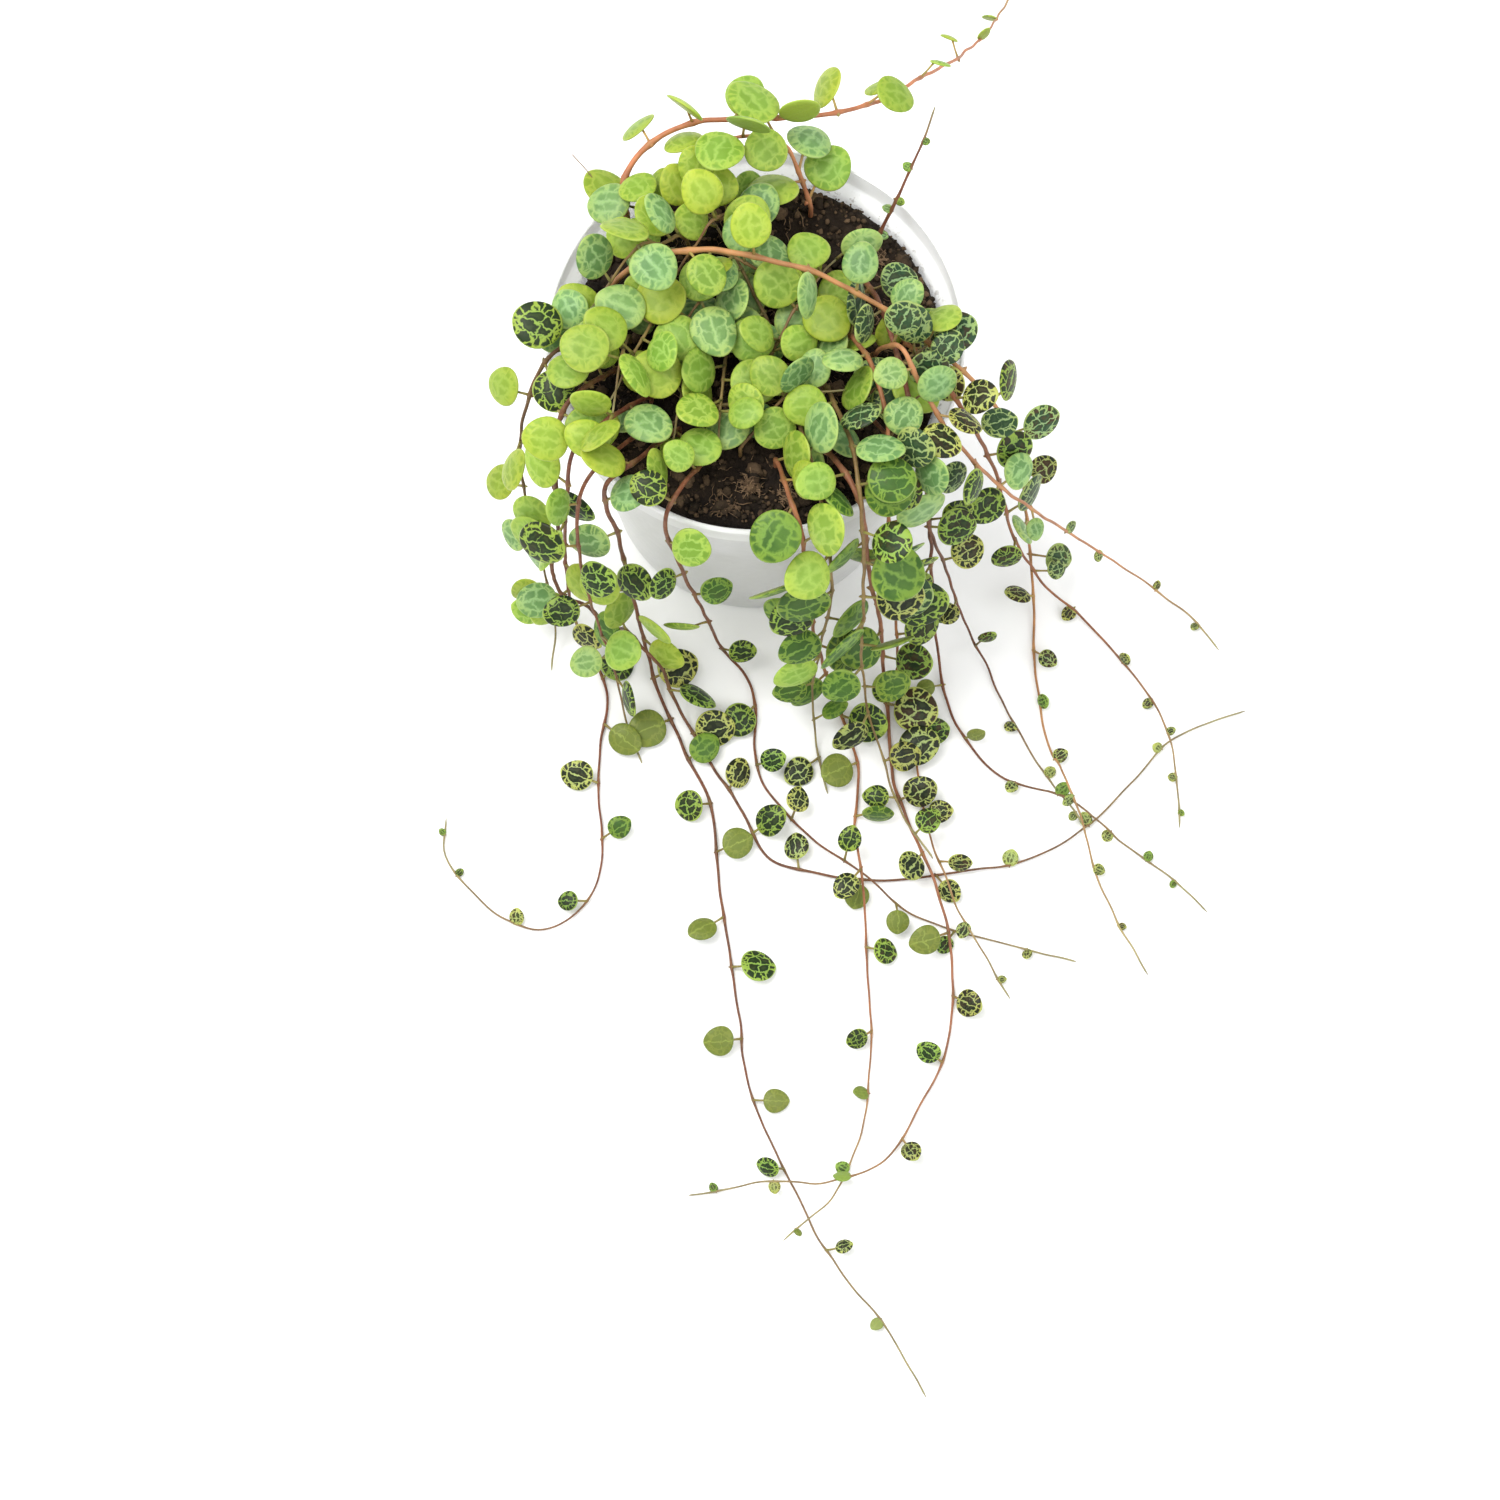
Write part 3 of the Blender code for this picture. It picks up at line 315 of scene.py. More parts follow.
def even_points(points, step):
    """Points at even steps along a polyline."""
    result = [points[0]]
    carry = 0.0
    for a, b in zip(points, points[1:]):
        length = (b - a).length
        place = step - carry
        while place <= length:
            result.append(a.lerp(b, place / length))
            place += step
        carry = length - (place - step)
    if (result[-1] - points[-1]).length > step * 0.4:
        result.append(points[-1])
    return result


def smooth_route(points):
    """Catmull-Rom curve through the points, at even steps."""
    ends = [points[0] * 2 - points[1], *points, points[-1] * 2 - points[-2]]
    fine = []
    for a, b, c, d in zip(ends, ends[1:], ends[2:], ends[3:]):
        for k in range(ROUTE_FINENESS):
            t = k / ROUTE_FINENESS
            fine.append(0.5 * (2 * b + (c - a) * t + (2 * a - 5 * b + 4 * c - d) * t ** 2
                               + (3 * b - a - 3 * c + d) * t ** 3))
    fine.append(points[-1].copy())
    return even_points(fine, ROUTE_STEP)


def ramp(value, low, high):
    """0 at low, 1 at high and straight between."""
    return min(max((value - low) / (high - low), 0.0), 1.0)


def escape_direction(point):
    """Up on the ground and above the pot, outward where a stem hangs beside it."""
    away = Vector((point.x, point.y, 0.0))
    hang = ramp(point.z, *HANG_LOW) * ramp(point.z, POT_HEIGHT, POT_HEIGHT - HANG_HIGH)
    if away.length < RIM_GUARD:
        hang = 0.0
    return (away.normalized() * hang + Vector((0.0, 0.0, 1.0 - hang + 0.15))).normalized()


def clear_route(route, radius, solids, used):
    """Moves the samples of a route off the pot, the soil, the ground and earlier stems."""
    route = [point.copy() for point in route]
    floor = radius + GROUND_CLEARANCE
    free_from = int(math.ceil((ROOT_DEPTH + ROOT_UPRIGHT) / ROUTE_STEP))
    tree = KDTree(max(len(used), 1))
    for index, (place, _) in enumerate(used):
        tree.insert(place, index)
    tree.balance()

    def blocked(point):
        for _, index, distance in tree.find_range(point, CLEARANCE_SEARCH):
            if distance < radius + used[index][1] + STEM_CLEARANCE:
                return True
        for solid in solids:
            near = solid.find_nearest(point, CLEARANCE_SEARCH)
            if near[0] is not None and near[3] < radius + WALL_CLEARANCE:
                return True
        return False

    reach = int(LIFT_REACH / ROUTE_STEP)
    for _ in range(LIFT_ROUNDS):
        amounts = []
        for index, point in enumerate(route):
            amount = 0.0
            if index >= free_from:
                direction = escape_direction(point)
                while blocked(point + direction * amount) and amount < LIFT_MOST:
                    amount += LIFT_STEP
            amounts.append(amount)
        if not any(amounts):
            break
        for index, point in enumerate(route):
            if index < free_from:
                continue
            most = 0.0
            for other in range(max(free_from, index - reach), min(len(route), index + reach + 1)):
                fall = 0.5 + 0.5 * math.cos(math.pi * abs(other - index) / (reach + 1))
                fade = min(1.0, (index - free_from + 1) / 4.0)
                most = max(most, amounts[other] * min(1.0, fall * 1.15) * (fade if other != index else 1.0))
            route[index] = point + escape_direction(point) * most
    for index in range(free_from, len(route)):
        route[index].z = max(route[index].z, floor)
    return route


def simplify(route, tolerance):
    """The few samples that keep the route within the tolerance."""
    keep = {0, len(route) - 1}
    spans = [(0, len(route) - 1)]
    while spans:
        first, last = spans.pop()
        a = route[first]
        along = (route[last] - a).normalized()
        worst = 0.0
        pick = None
        for index in range(first + 1, last):
            off = route[index] - a
            distance = (off - along * off.dot(along)).length
            if distance > worst:
                worst = distance
                pick = index
        if worst > tolerance:
            keep.add(pick)
            spans.append((first, pick))
            spans.append((pick, last))
    return sorted(keep)


def stem_radius(stem, t):
    return blend(stem["thick"][0], stem["thick"][1], t)


def leaf_thickness(radius):
    return min(2.0, 0.8 + 0.22 * radius)


def leaf_matrix(leaf, grow):
    """Places a unit lens: x to the leaf tip, z along its upper face normal."""
    tip = leaf["tip"]
    up = leaf["up"]
    side = up.cross(tip)
    turn = Matrix((tip, side, up)).transposed().to_4x4()
    half = leaf_thickness(leaf["radius"]) * 0.5
    width = leaf["radius"] * leaf["aspect"]
    size = Matrix.Diagonal((leaf["radius"] + grow, width + grow, half + grow, 1.0))
    return Matrix.Translation(leaf["centre"]) @ turn @ size


def lens(sides, matrix):
    """A many-sided lens, a little narrower towards its tip."""
    bm = bmesh.new()
    bmesh.ops.create_uvsphere(bm, u_segments=sides, v_segments=2, radius=1.0)
    bmesh.ops.rotate(bm, matrix=Matrix.Rotation(math.pi / sides, 3, "Z"), verts=bm.verts)
    for vert in bm.verts:
        vert.co.y *= 1.0 - LEAF_TAPER * vert.co.x
    bmesh.ops.transform(bm, matrix=matrix, verts=bm.verts)
    return bm


def stick_tree(start, end, radius):
    """Search tree of a three-sided stick between two points."""
    bm = bmesh.new()
    along = end - start
    bmesh.ops.create_cone(bm, cap_ends=True, segments=3, radius1=radius, radius2=radius,
                          depth=along.length)
    turn = along.to_track_quat("Z", "Y").to_matrix().to_4x4()
    bmesh.ops.transform(bm, matrix=Matrix.Translation((start + end) * 0.5) @ turn, verts=bm.verts)
    return bvh_of(bm)


def leaf_sides(radius):
    if radius < TINY_LEAF_RADIUS:
        return TINY_LEAF_SIDES
    return SMALL_LEAF_SIDES if radius < SMALL_LEAF_RADIUS else LEAF_SIDES


def in_pot(point):
    """Whether a point lies over the soil."""
    return math.hypot(point.x, point.y) < SOIL_RADIUS and point.z > SOIL_EDGE_Z


def bvh_of(bm):
    tree = BVHTree.FromBMesh(bm)
    bm.free()
    return tree


def light_direction(name, point):
    """Where the leaves of a stem turn there; outward on the sides of the pot."""
    away = Vector((point.x, point.y, 0.0))
    up = Vector(FACING.get(name, PLAIN_FACING))
    if GROUND_ZONE < point.z < POT_HEIGHT and away.length > SOIL_RADIUS:
        up += away.normalized() * SIDE_FACING
    return up.normalized()


def tilted(up, chance):
    """The direction up, tilted by a random angle: a little for most leaves, much for some."""
    across = Matrix.Rotation(chance.uniform(0.0, TURN), 3, up) @ up.orthogonal().normalized()
    angle = blend(*LEAF_TILT, chance.random() ** 2)
    return (up * math.cos(angle) + across * math.sin(angle)).normalized()


def try_leaf(stem, index, radius, turn_side, chance, blockers):
    """One random try at a leaf on a stem; None where it would touch something.

    The leaf reaches out to the side where turn_side is 1 or -1, and ends the stem where it is 0.
    """
    route = stem["route"]
    point = route[index]
    along = (route[min(index + 1, len(route) - 1)] - route[max(index - 1, 0)]).normalized()
    up = light_direction(stem["name"], point)
    side = along.cross(up)
    if side.length < 0.2:
        side = along.orthogonal()
    side = side.normalized() * turn_side
    lean = tilted(up, chance)
    forward = chance.uniform(*LEAF_FORWARD) if turn_side else 1.0
    reach = side + along * forward + up * chance.uniform(*LEAF_UPWARD)
    tip = reach - lean * reach.dot(lean)
    if tip.length < 0.2:
        return None
    tip.normalize()
    stalk = radius >= BUD_RADIUS
    if not stalk:
        centre = point + tip * radius * BUD_SEAT
    else:
        rise = chance.uniform(*(MOUND_RISE if in_pot(point) else PETIOLE_RISE))
        base = point + reach.normalized() * chance.uniform(*PETIOLE_REACH) + up * rise
        centre = base + tip * radius
    leaf = {"radius": radius, "tip": tip, "up": lean, "centre": centre, "root": point, "stalk": stalk}
    leaf["aspect"] = chance.uniform(*LEAF_ASPECT)
    leaf["hold"] = centre - tip * radius * LEAF_HOLD
    return leaf if leaf_is_free(leaf, stem, blockers) else None


def over_bare_patch(point):
    """The front of the soil stays in view."""
    return (abs(point.x - BARE_PATCH[0]) < BARE_HALF[0] and abs(point.y - BARE_PATCH[1]) < BARE_HALF[1]
            and point.z > POT_HEIGHT - 8.0)


def leaf_is_free(leaf, stem, blockers):
    """Whether a leaf and its stalk touch nothing; keeps the leaf's search tree."""
    body = lens(leaf_sides(leaf["radius"]), leaf_matrix(leaf, LEAF_MARGIN))
    lowest = min(vert.co.z for vert in body.verts)
    leaf["tree"] = bvh_of(body)
    if lowest < GROUND_CLEARANCE or over_bare_patch(leaf["centre"]):
        return False
    reach = leaf["radius"] + PETIOLE_REACH[1] + MOUND_RISE[1]
    stalk = None
    if leaf["stalk"]:
        stalk = stick_tree(leaf["root"].lerp(leaf["hold"], 0.25), leaf["hold"], STALK_ROOM)
    for owner, place, size, other in blockers:
        if place is not None and (place - leaf["centre"]).length > reach + size:
            continue
        own_stem = owner == stem["name"] and place is None
        if own_stem and not leaf["stalk"]:
            continue
        if other.overlap(leaf["tree"]):
            return False
        if stalk is not None and not own_stem and other.overlap(stalk):
            return False
    return True


def find_leaf(stem, index, turn_side, chance, blockers):
    """The first leaf that fits near a place on the stem, smaller after many tries."""
    last = len(stem["route"]) - 1
    radius = key_value(stem["keys"], index / last, 0) * chance.uniform(*LEAF_SIZES)
    for attempt in range(LEAF_TRIES):
        if attempt == LEAF_TRIES * 2 // 3:
            radius *= LEAF_SHRINK
        side = turn_side if attempt % 3 < 2 else -turn_side
        shift = min(max(index + chance.randint(-1, 1), 1), last) if turn_side else index
        leaf = try_leaf(stem, shift, radius, side, chance, blockers)
        if leaf:
            blockers.append((stem["name"], leaf["centre"], radius, leaf["tree"]))
            if leaf["stalk"]:
                root, hold = leaf["root"], leaf["hold"]
                tree = stick_tree(root, hold, STALK_ROOM)
                blockers.append((stem["name"], (root + hold) * 0.5, (root - hold).length * 0.5, tree))
            return [leaf]
    return []


def grow_leaves(stem, blockers, chance):
    """Leaves along a stem, turning from side to side, sized by the stem's keys."""
    route = stem["route"]
    leaves = []
    total = (len(route) - 1) * ROUTE_STEP
    if stem["mound"]:
        leaves += find_leaf(stem, len(route) - 1, 0.0, chance, blockers)
        total -= MOUND_KEYS[-1][1]
    place = ROOT_DEPTH + FIRST_LEAF
    turn_side = 1.0
    while place < total - ROUTE_STEP:
        t = place / total
        index = int(place / ROUTE_STEP)
        leaves += find_leaf(stem, index, turn_side, chance, blockers)
        spread = HANGING_SPREAD
        if stem["mound"]:
            spread = MOUND_SPREAD
        elif in_pot(route[index]):
            spread = START_SPREAD
        elif route[index].z < GROUND_ZONE:
            spread = GROUND_SPREAD
        place += key_value(stem["keys"], t, 1) * spread * chance.uniform(*LEAF_SPACING)
        turn_side = -turn_side
    return leaves


def mound_routes(roots, chance):
    """Short stems that rise from the soil, bow over and come down among the others."""
    routes = {}
    number = 0
    spot = 0
    while number < MOUND_COUNT:
        away = MOUND_RADIUS * math.sqrt((spot % MOUND_SPOTS + 0.4) / MOUND_SPOTS)
        angle = spot * GOLDEN_ANGLE
        spot += 1
        x, y = polar(away, angle)
        if any(math.hypot(x - a, y - b) < ROOT_SPACING for a, b in roots):
            continue
        roots.append((x, y))
        heading = angle + chance.uniform(*MOUND_TURN)
        length = chance.uniform(*MOUND_LENGTH)
        top = chance.uniform(*MOUND_TOP)
        end_x = x + math.cos(heading) * length
        end_y = y + math.sin(heading) * length
        inward = min(1.0, MOUND_EDGE / math.hypot(end_x, end_y))
        end_x *= inward
        end_y *= inward
        routes["mound_%02d" % (number + 1)] = ((x, y), [
            (blend(x, end_x, 0.25), blend(y, end_y, 0.25), top - 3.0),
            (blend(x, end_x, 0.6), blend(y, end_y, 0.6), top),
            (end_x, end_y, chance.uniform(*MOUND_TIP)),
        ])
        number += 1
    return routes


def plan_stems(solids):
    """All stems on clear routes; the same seed gives the same plant."""
    chance = random.Random(SEED)
    plans = []
    for name, (root, air, ground, thick, keys) in STEMS.items():
        plans.append((name, root, air + [(x, y, GROUND_Z) for x, y in ground], thick, keys))
    roots = [plan[1] for plan in plans]
    for name, (root, route) in mound_routes(roots, chance).items():
        plans.append((name, root, route, MOUND_STEM, MOUND_KEYS))
    stems = []
    used = []
    for name, (x, y), route, thick, keys in plans:
        foot = soil_height(x, y) - ROOT_DEPTH
        points = [Vector((x, y, foot)), Vector((x, y, foot + ROOT_DEPTH + ROOT_UPRIGHT))]
        points += [Vector(point) for point in route]
        radius = max(thick)
        smooth = smooth_route(points)
        straight = int(math.ceil((ROOT_DEPTH + ROOT_STRAIGHT) / ROUTE_STEP))
        for index in range(straight + 1):
            smooth[index] = Vector((x, y, foot + index * ROUTE_STEP))
        clear = clear_route(smooth, radius, solids, used)
        stems.append({"name": name, "route": clear, "thick": thick, "keys": keys,
                      "mound": name.startswith("mound")})
        used += [(point, radius) for point in clear]
    return stems, chance


def plan_plant(pot_tree, soil_tree):
    """All stems with their leaves, each clear of what stands already."""
    stems, chance = plan_stems([pot_tree, soil_tree])
    blockers = [("pot", None, 0.0, pot_tree), ("soil", None, 0.0, soil_tree)]
    for stem in stems:
        keep = simplify(stem["route"], STEM_TOLERANCE)
        for first, last in zip(keep, keep[1:]):
            tree = stick_tree(stem["route"][first], stem["route"][last], stem["thick"][0] + STEM_GUARD)
            blockers.append((stem["name"], None, 0.0, tree))
    for stem in stems:
        stem["leaves"] = grow_leaves(stem, blockers, chance)
    return stems


def add_object(name, data):
    item = bpy.data.objects.new(name, data)
    bpy.context.scene.collection.objects.link(item)
    return item


def screw_object(name, profile, steps):
    """A profile of radius and height turned about the upright axis."""
    mesh = bpy.data.meshes.new(name)
    edges = [(k, k + 1) for k in range(len(profile) - 1)]
    mesh.from_pydata([(r * MM, 0.0, z * MM) for r, z in profile], edges, [])
    item = add_object(name, mesh)
    screw = item.modifiers.new("turn", "SCREW")
    screw.steps = steps
    screw.render_steps = steps
    screw.use_merge_vertices = True
    screw.merge_threshold = MERGE_DISTANCE
    return item


def turned_pot(name, profile, steps, thickness, hole_sides):
    """Thin pot turned from the profile of its outer side, with drain holes in its base."""
    pot = screw_object(name, profile, steps)
    wall = pot.modifiers.new("wall", "SOLIDIFY")
    wall.thickness = thickness * MM
    wall.offset = -1.0
    wall.use_even_offset = True
    apply_modifiers(pot)
    cutters = bpy.data.collections.new("drain_cutters")
    bpy.context.scene.collection.children.link(cutters)
    for k in range(HOLE_COUNT):
        bm = bmesh.new()
        bmesh.ops.create_cone(bm, cap_ends=True, segments=hole_sides, radius1=HOLE_RADIUS * MM,
                              radius2=HOLE_RADIUS * MM, depth=HOLE_CUT * MM)
        at = Vector((*polar(HOLE_RING, TURN * (k + 0.5) / HOLE_COUNT), 0.0)) * MM
        bmesh.ops.translate(bm, vec=at, verts=bm.verts)
        bmesh.ops.recalc_face_normals(bm, faces=bm.faces)
        mesh = bpy.data.meshes.new("drain_cutter")
        bm.to_mesh(mesh)
        bm.free()
        cutters.objects.link(bpy.data.objects.new("drain_cutter", mesh))
    cut = pot.modifiers.new("drain_holes", "BOOLEAN")
    cut.operation = "DIFFERENCE"
    cut.operand_type = "COLLECTION"
    cut.collection = cutters
    apply_modifiers(pot)
    remove_objects(list(cutters.objects))
    bpy.data.collections.remove(cutters)
    return pot


def remove_objects(items):
    for item in items:
        bpy.data.objects.remove(item, do_unlink=True)


def turned_soil():
    """Plain soil body with a bumpy top, as in the solids."""
    floor = POT_WALL + SEAT_GAP
    profile = [(SOIL_RADIUS * k / SOIL_RINGS, SOIL_EDGE_Z) for k in range(SOIL_RINGS + 1)]
    profile += [(SOIL_RADIUS, SOIL_EDGE_Z - SOIL_SHOULDER), (SOIL_FOOT_RADIUS, floor), (0.0, floor)]
    soil = screw_object("soil_guide", profile, SOIL_STEPS)
    apply_modifiers(soil)
    for vert in soil.data.vertices:
        if vert.co.z > (SOIL_EDGE_Z - SOIL_SHOULDER * 0.5) * MM:
            vert.co.z = soil_height(vert.co.x / MM, vert.co.y / MM) * MM
    return soil


def tree_of_object(item):
    """Search tree of an object's surface in millimetres."""
    bm = bmesh.new()
    bm.from_mesh(item.data)
    bmesh.ops.scale(bm, vec=(1.0 / MM, 1.0 / MM, 1.0 / MM), verts=bm.verts)
    return bvh_of(bm)


# Fine surfaces

FINE_POT_PROFILE = [
    (51.45, 91.9), (51.9, 92.0), (52.3, 91.75), (52.5, 91.2), (52.45, 90.5), (52.2, 90.0), (52.15, 85.4),
    (51.8, 84.5), (51.0, 84.0), (49.6, 83.4), (49.0, 82.9), (48.75, 82.2), (38.25, 1.7), (37.9, 0.7),
    (37.4, 0.2), (36.8, 0.0), (0.0, 0.0)]
FINE_POT_STEPS = 160
FINE_POT_WALL = 0.9
FINE_HOLE_SIDES = 28

# Grain (per millimetre) and height of each layer of crumbs in the soil surface
SOIL_RELIEF = [(0.22, 1.3), (0.5, 1.15), (1.1, 0.75)]
SOIL_FINE_RINGS = 90
SOIL_FINE_AROUND = 250
SOIL_ROUND_EDGE = 2.0
CRUMB_COUNT = 2400
CRUMB_SMALL = (0.4, 0.95)
CRUMB_BIG = (1.0, 1.9)
CRUMB_EDGE_SHARE = 0.3
FIBRE_COUNT = 260
FIBRE_LENGTH = (2.0, 7.5)
FIBRE_WIDTH = (0.07, 0.17)
LUMPS = [(-1.5, -37.5, 2.9), (8.0, -40.0, 2.2), (-8.0, -43.0, 1.7), (30.0, 24.0, 2.2), (3.0, 43.0, 2.4)]
LUMP_FIBRES = 34
HAIR = [(-37, 33, 84), (-38, 36, 93), (-41, 41, 98), (-46, 46, 101)]
TWIG = [(-17, 38, 84), (-15, 41, 92), (-12, 42, 97), (-12, 45, 101)]

LEAF_AROUND = 30
LEAF_TOP_RINGS = (0.2, 0.42, 0.62, 0.78, 0.9, 0.965)
LEAF_UNDER_RINGS = (0.95, 0.7, 0.35)
LEAF_RIM = 0.17
LEAF_DROOP = (0.0, 0.075)
LEAF_TWIST = 0.07
LEAF_POINT = (0.02, 0.085)
LEAF_LOBE = 0.014
STEM_AROUND = 9
STEM_THIN = 0.66
STEM_WANDER = 0.45
STEM_WANDER_GRAIN = 0.13
NODE_SWELL = 0.4
NUB_LENGTH = (0.6, 1.3)
NUB_AROUND = 5
PETIOLE_AROUND = 6
PETIOLE_THIN = 0.8

# Leaf looks: vein colour, blotch colour and how strong the shell pattern is
LOOKS = {
    "mint": ((0.3, 0.43, 0.145), (0.1, 0.21, 0.06), (0.25, 0.55)),
    "plain": ((0.31, 0.43, 0.07), (0.15, 0.27, 0.025), (0.15, 0.5)),
    # The lime look is partly the bright colour of young leaves and partly a painted glow of light shining
    # through backlit leaves.
    "lime": ((0.34, 0.435, 0.055), (0.19, 0.3, 0.02), (0.1, 0.4)),
    "mid": ((0.17, 0.27, 0.035), (0.035, 0.095, 0.01), (0.4, 0.75)),
    "grey": ((0.28, 0.38, 0.14), (0.02, 0.055, 0.02), (0.65, 0.95)),
    "shell": ((0.37, 0.41, 0.12), (0.008, 0.015, 0.004), (0.9, 1.0)),
    "green_shell": ((0.23, 0.34, 0.055), (0.009, 0.024, 0.004), (0.75, 1.0)),
}
BROWN_PATCH = (0.05, 0.021, 0.006)
UNDERSIDE = (0.16, 0.185, 0.028)
PALE_UNDERSIDE = (0.23, 0.28, 0.05)

# How often each look appears in each region of the plant
REGIONS = {
    # The lime look, partly a painted backlight glow, is weighted to the back and left, where light comes
    # through the leaves.
    "back": {"lime": 5, "plain": 4, "mint": 1},
    "mound_left": {"lime": 4, "plain": 3, "mint": 4},
    "mound_front": {"lime": 1, "plain": 6, "mint": 3},
    "mound_right": {"lime": 1, "plain": 2, "mint": 3, "grey": 4},
    "left": {"lime": 3, "plain": 2, "mint": 1, "green_shell": 3, "mid": 1},
    "front": {"mid": 8, "plain": 1, "green_shell": 2},
    "right": {"mint": 2, "grey": 3, "green_shell": 3, "shell": 2},
    "ground": {"green_shell": 5, "shell": 3, "mid": 1},
    "ground_right": {"shell": 7, "green_shell": 2},
}

# Stem tones, and the stems that have another tone than their kind
TONES = {
    "orange": (0.46, 0.21, 0.095),
    "pink": (0.27, 0.11, 0.05),
    "red": (0.14, 0.045, 0.022),
    "brown": (0.12, 0.062, 0.024),
    "olive": (0.2, 0.14, 0.05),
}
STEM_TONES = {
    "vine_orange": "orange",
    "vine_right_high": "orange",
    "vine_right_outer": "pink",
    "vine_back_long": "orange",
    "vine_front_sweep": "pink",
    "vine_right_middle": "pink",
    "arch_back": "orange",
    "vine_centre": "pink",
    "shoot_back_right": "red",
    "cluster_centre": "olive",
    "cluster_centre_left": "olive",
    "cluster_far_left": "brown",
}
STEM_TIP = (0.26, 0.26, 0.12)
STALK_GREEN = (0.27, 0.26, 0.07)

CAMERA_PLACE = (-1.38, -447.4, 1096.9)
CAMERA_TILT = 18.625
CAMERA_LENS = 105.3


def finish_mesh(name, verts, faces, marks, attributes, materials):
    """One object from point, face and material lists, in millimetres."""
    mesh = bpy.data.meshes.new(name)
    mesh.from_pydata([tuple(vert * MM) for vert in verts], [], faces)
    for label, values in attributes.items():
        layer = mesh.attributes.new(label, "FLOAT_COLOR", "POINT")
        layer.data.foreach_set("color", np.asarray(values, dtype=np.float32).ravel())
    for material in materials:
        mesh.materials.append(material)
    mesh.polygons.foreach_set("material_index", np.asarray(marks, dtype=np.int32))
    mesh.update()
    mesh.shade_smooth()
    item = bpy.data.objects.new(name, mesh)
    bpy.context.scene.collection.objects.link(item)
    return item


class Builder:
    """Collects points, faces, face marks and point attributes of one piece."""

    def __init__(self):
        self.verts = []
        self.faces = []
        self.marks = []
        self.place = []
        self.light = []
        self.dark = []

    def add(self, verts, faces, mark, place, light, dark):
        start = len(self.verts)
        self.verts += verts
        self.faces += [tuple(index + start for index in face) for face in faces]
        self.marks += [mark] * len(faces)
        self.place += place
        self.light += light
        self.dark += dark

    def build(self, name, materials):
        attributes = {"part_place": self.place, "part_light": self.light, "part_dark": self.dark}
        return finish_mesh(name, self.verts, self.faces, self.marks, attributes, materials)


def ring_faces(rings, around):
    """A fan from point 0, and the bands between the rings of points after it."""
    faces = [(0, 1 + k, 1 + (k + 1) % around) for k in range(around)]
    for low in range(1, 1 + (rings - 1) * around, around):
        high = low + around
        for k in range(around):
            m = (k + 1) % around
            faces.append((low + k, high + k, high + m, low + m))
    return faces


def leaf_shape(leaf, chance):
    """Points, places and faces of a plump leaf in its own axes."""
    radius = leaf["radius"]
    half = leaf_thickness(radius) * 0.5
    rim = min(LEAF_RIM, half * 0.35)
    droop = chance.uniform(*LEAF_DROOP)
    twist = chance.uniform(-LEAF_TWIST, LEAF_TWIST)
    point = blend(LEAF_POINT[1], LEAF_POINT[0], ramp(radius, 2.5, 5.5)) * chance.uniform(0.5, 1.3)
    turns = (chance.uniform(0.0, 6.28), chance.uniform(0.0, 6.28))
    points = []
    places = []

    def put(rho, phi, height, side):
        lobe = 1.0 + LEAF_LOBE * (math.sin(2.0 * phi + turns[0]) + math.sin(3.0 * phi + turns[1]))
        x = rho * lobe * (math.cos(phi) + point * math.exp(-(phi / 0.3) ** 2))
        y = rho * lobe * leaf["aspect"] * math.sin(phi) * (1.0 - LEAF_TAPER * math.cos(phi))
        z = height + radius * (twist * x * y - droop * rho * rho)
        points.append((x * radius, y * radius, z))
        places.append((x, y, side))

    put(0.0, 0.0, half * 0.98, 1.0)
    levels = [(rho, rim + (half * 0.98 - rim) * (1.0 - rho ** 2.5) ** 0.8, 1.0) for rho in LEAF_TOP_RINGS]
    levels.append((1.0, 0.0, 0.2))
    levels += [(rho, -rim - (half * 0.7 - rim) * (1.0 - rho ** 2.2), -1.0) for rho in LEAF_UNDER_RINGS]
    for rho, height, side in levels:
        for k in range(LEAF_AROUND):
            phi = TURN * k / LEAF_AROUND
            put(rho, phi if phi <= math.pi else phi - TURN, height, side)
    put(0.0, 0.0, -half * 0.7, -1.0)
    faces = ring_faces(len(levels), LEAF_AROUND)
    low = 1 + (len(levels) - 1) * LEAF_AROUND
    last = len(points) - 1
    for k in range(LEAF_AROUND):
        faces.append((low + k, last, low + (k + 1) % LEAF_AROUND))
    return points, places, faces


def ring_frames(points):
    """Directions across a path that turn as little as possible along it."""
    frames = []
    across = None
    for index, point in enumerate(points):
        along = (points[min(index + 1, len(points) - 1)] - points[max(index - 1, 0)]).normalized()
        if across is None:
            across = along.orthogonal().normalized()
        across = (across - along * across.dot(along)).normalized()
        frames.append((across, along.cross(across)))
    return frames


def add_tube(builder, points, radii, around, mark, colours, tag):
    """A round tube along a path with closed ends."""
    verts = []
    place = []
    light = []
    for (a, b), point, radius, colour in zip(ring_frames(points), points, radii, colours):
        for k in range(around):
            x, y = polar(radius, TURN * k / around)
            verts.append(point + a * x + b * y)
            place.append((k / around, 0.0, 0.0, tag))
            light.append((*colour, 1.0))
    faces = []
    for index in range(len(points) - 1):
        low = index * around
        high = low + around
        for k in range(around):
            m = (k + 1) % around
            faces.append((low + k, low + m, high + m, high + k))
    faces.append(tuple(reversed(range(around))))
    faces.append(tuple(range((len(points) - 1) * around, len(points) * around)))
    builder.add(verts, faces, mark, place, light, light)


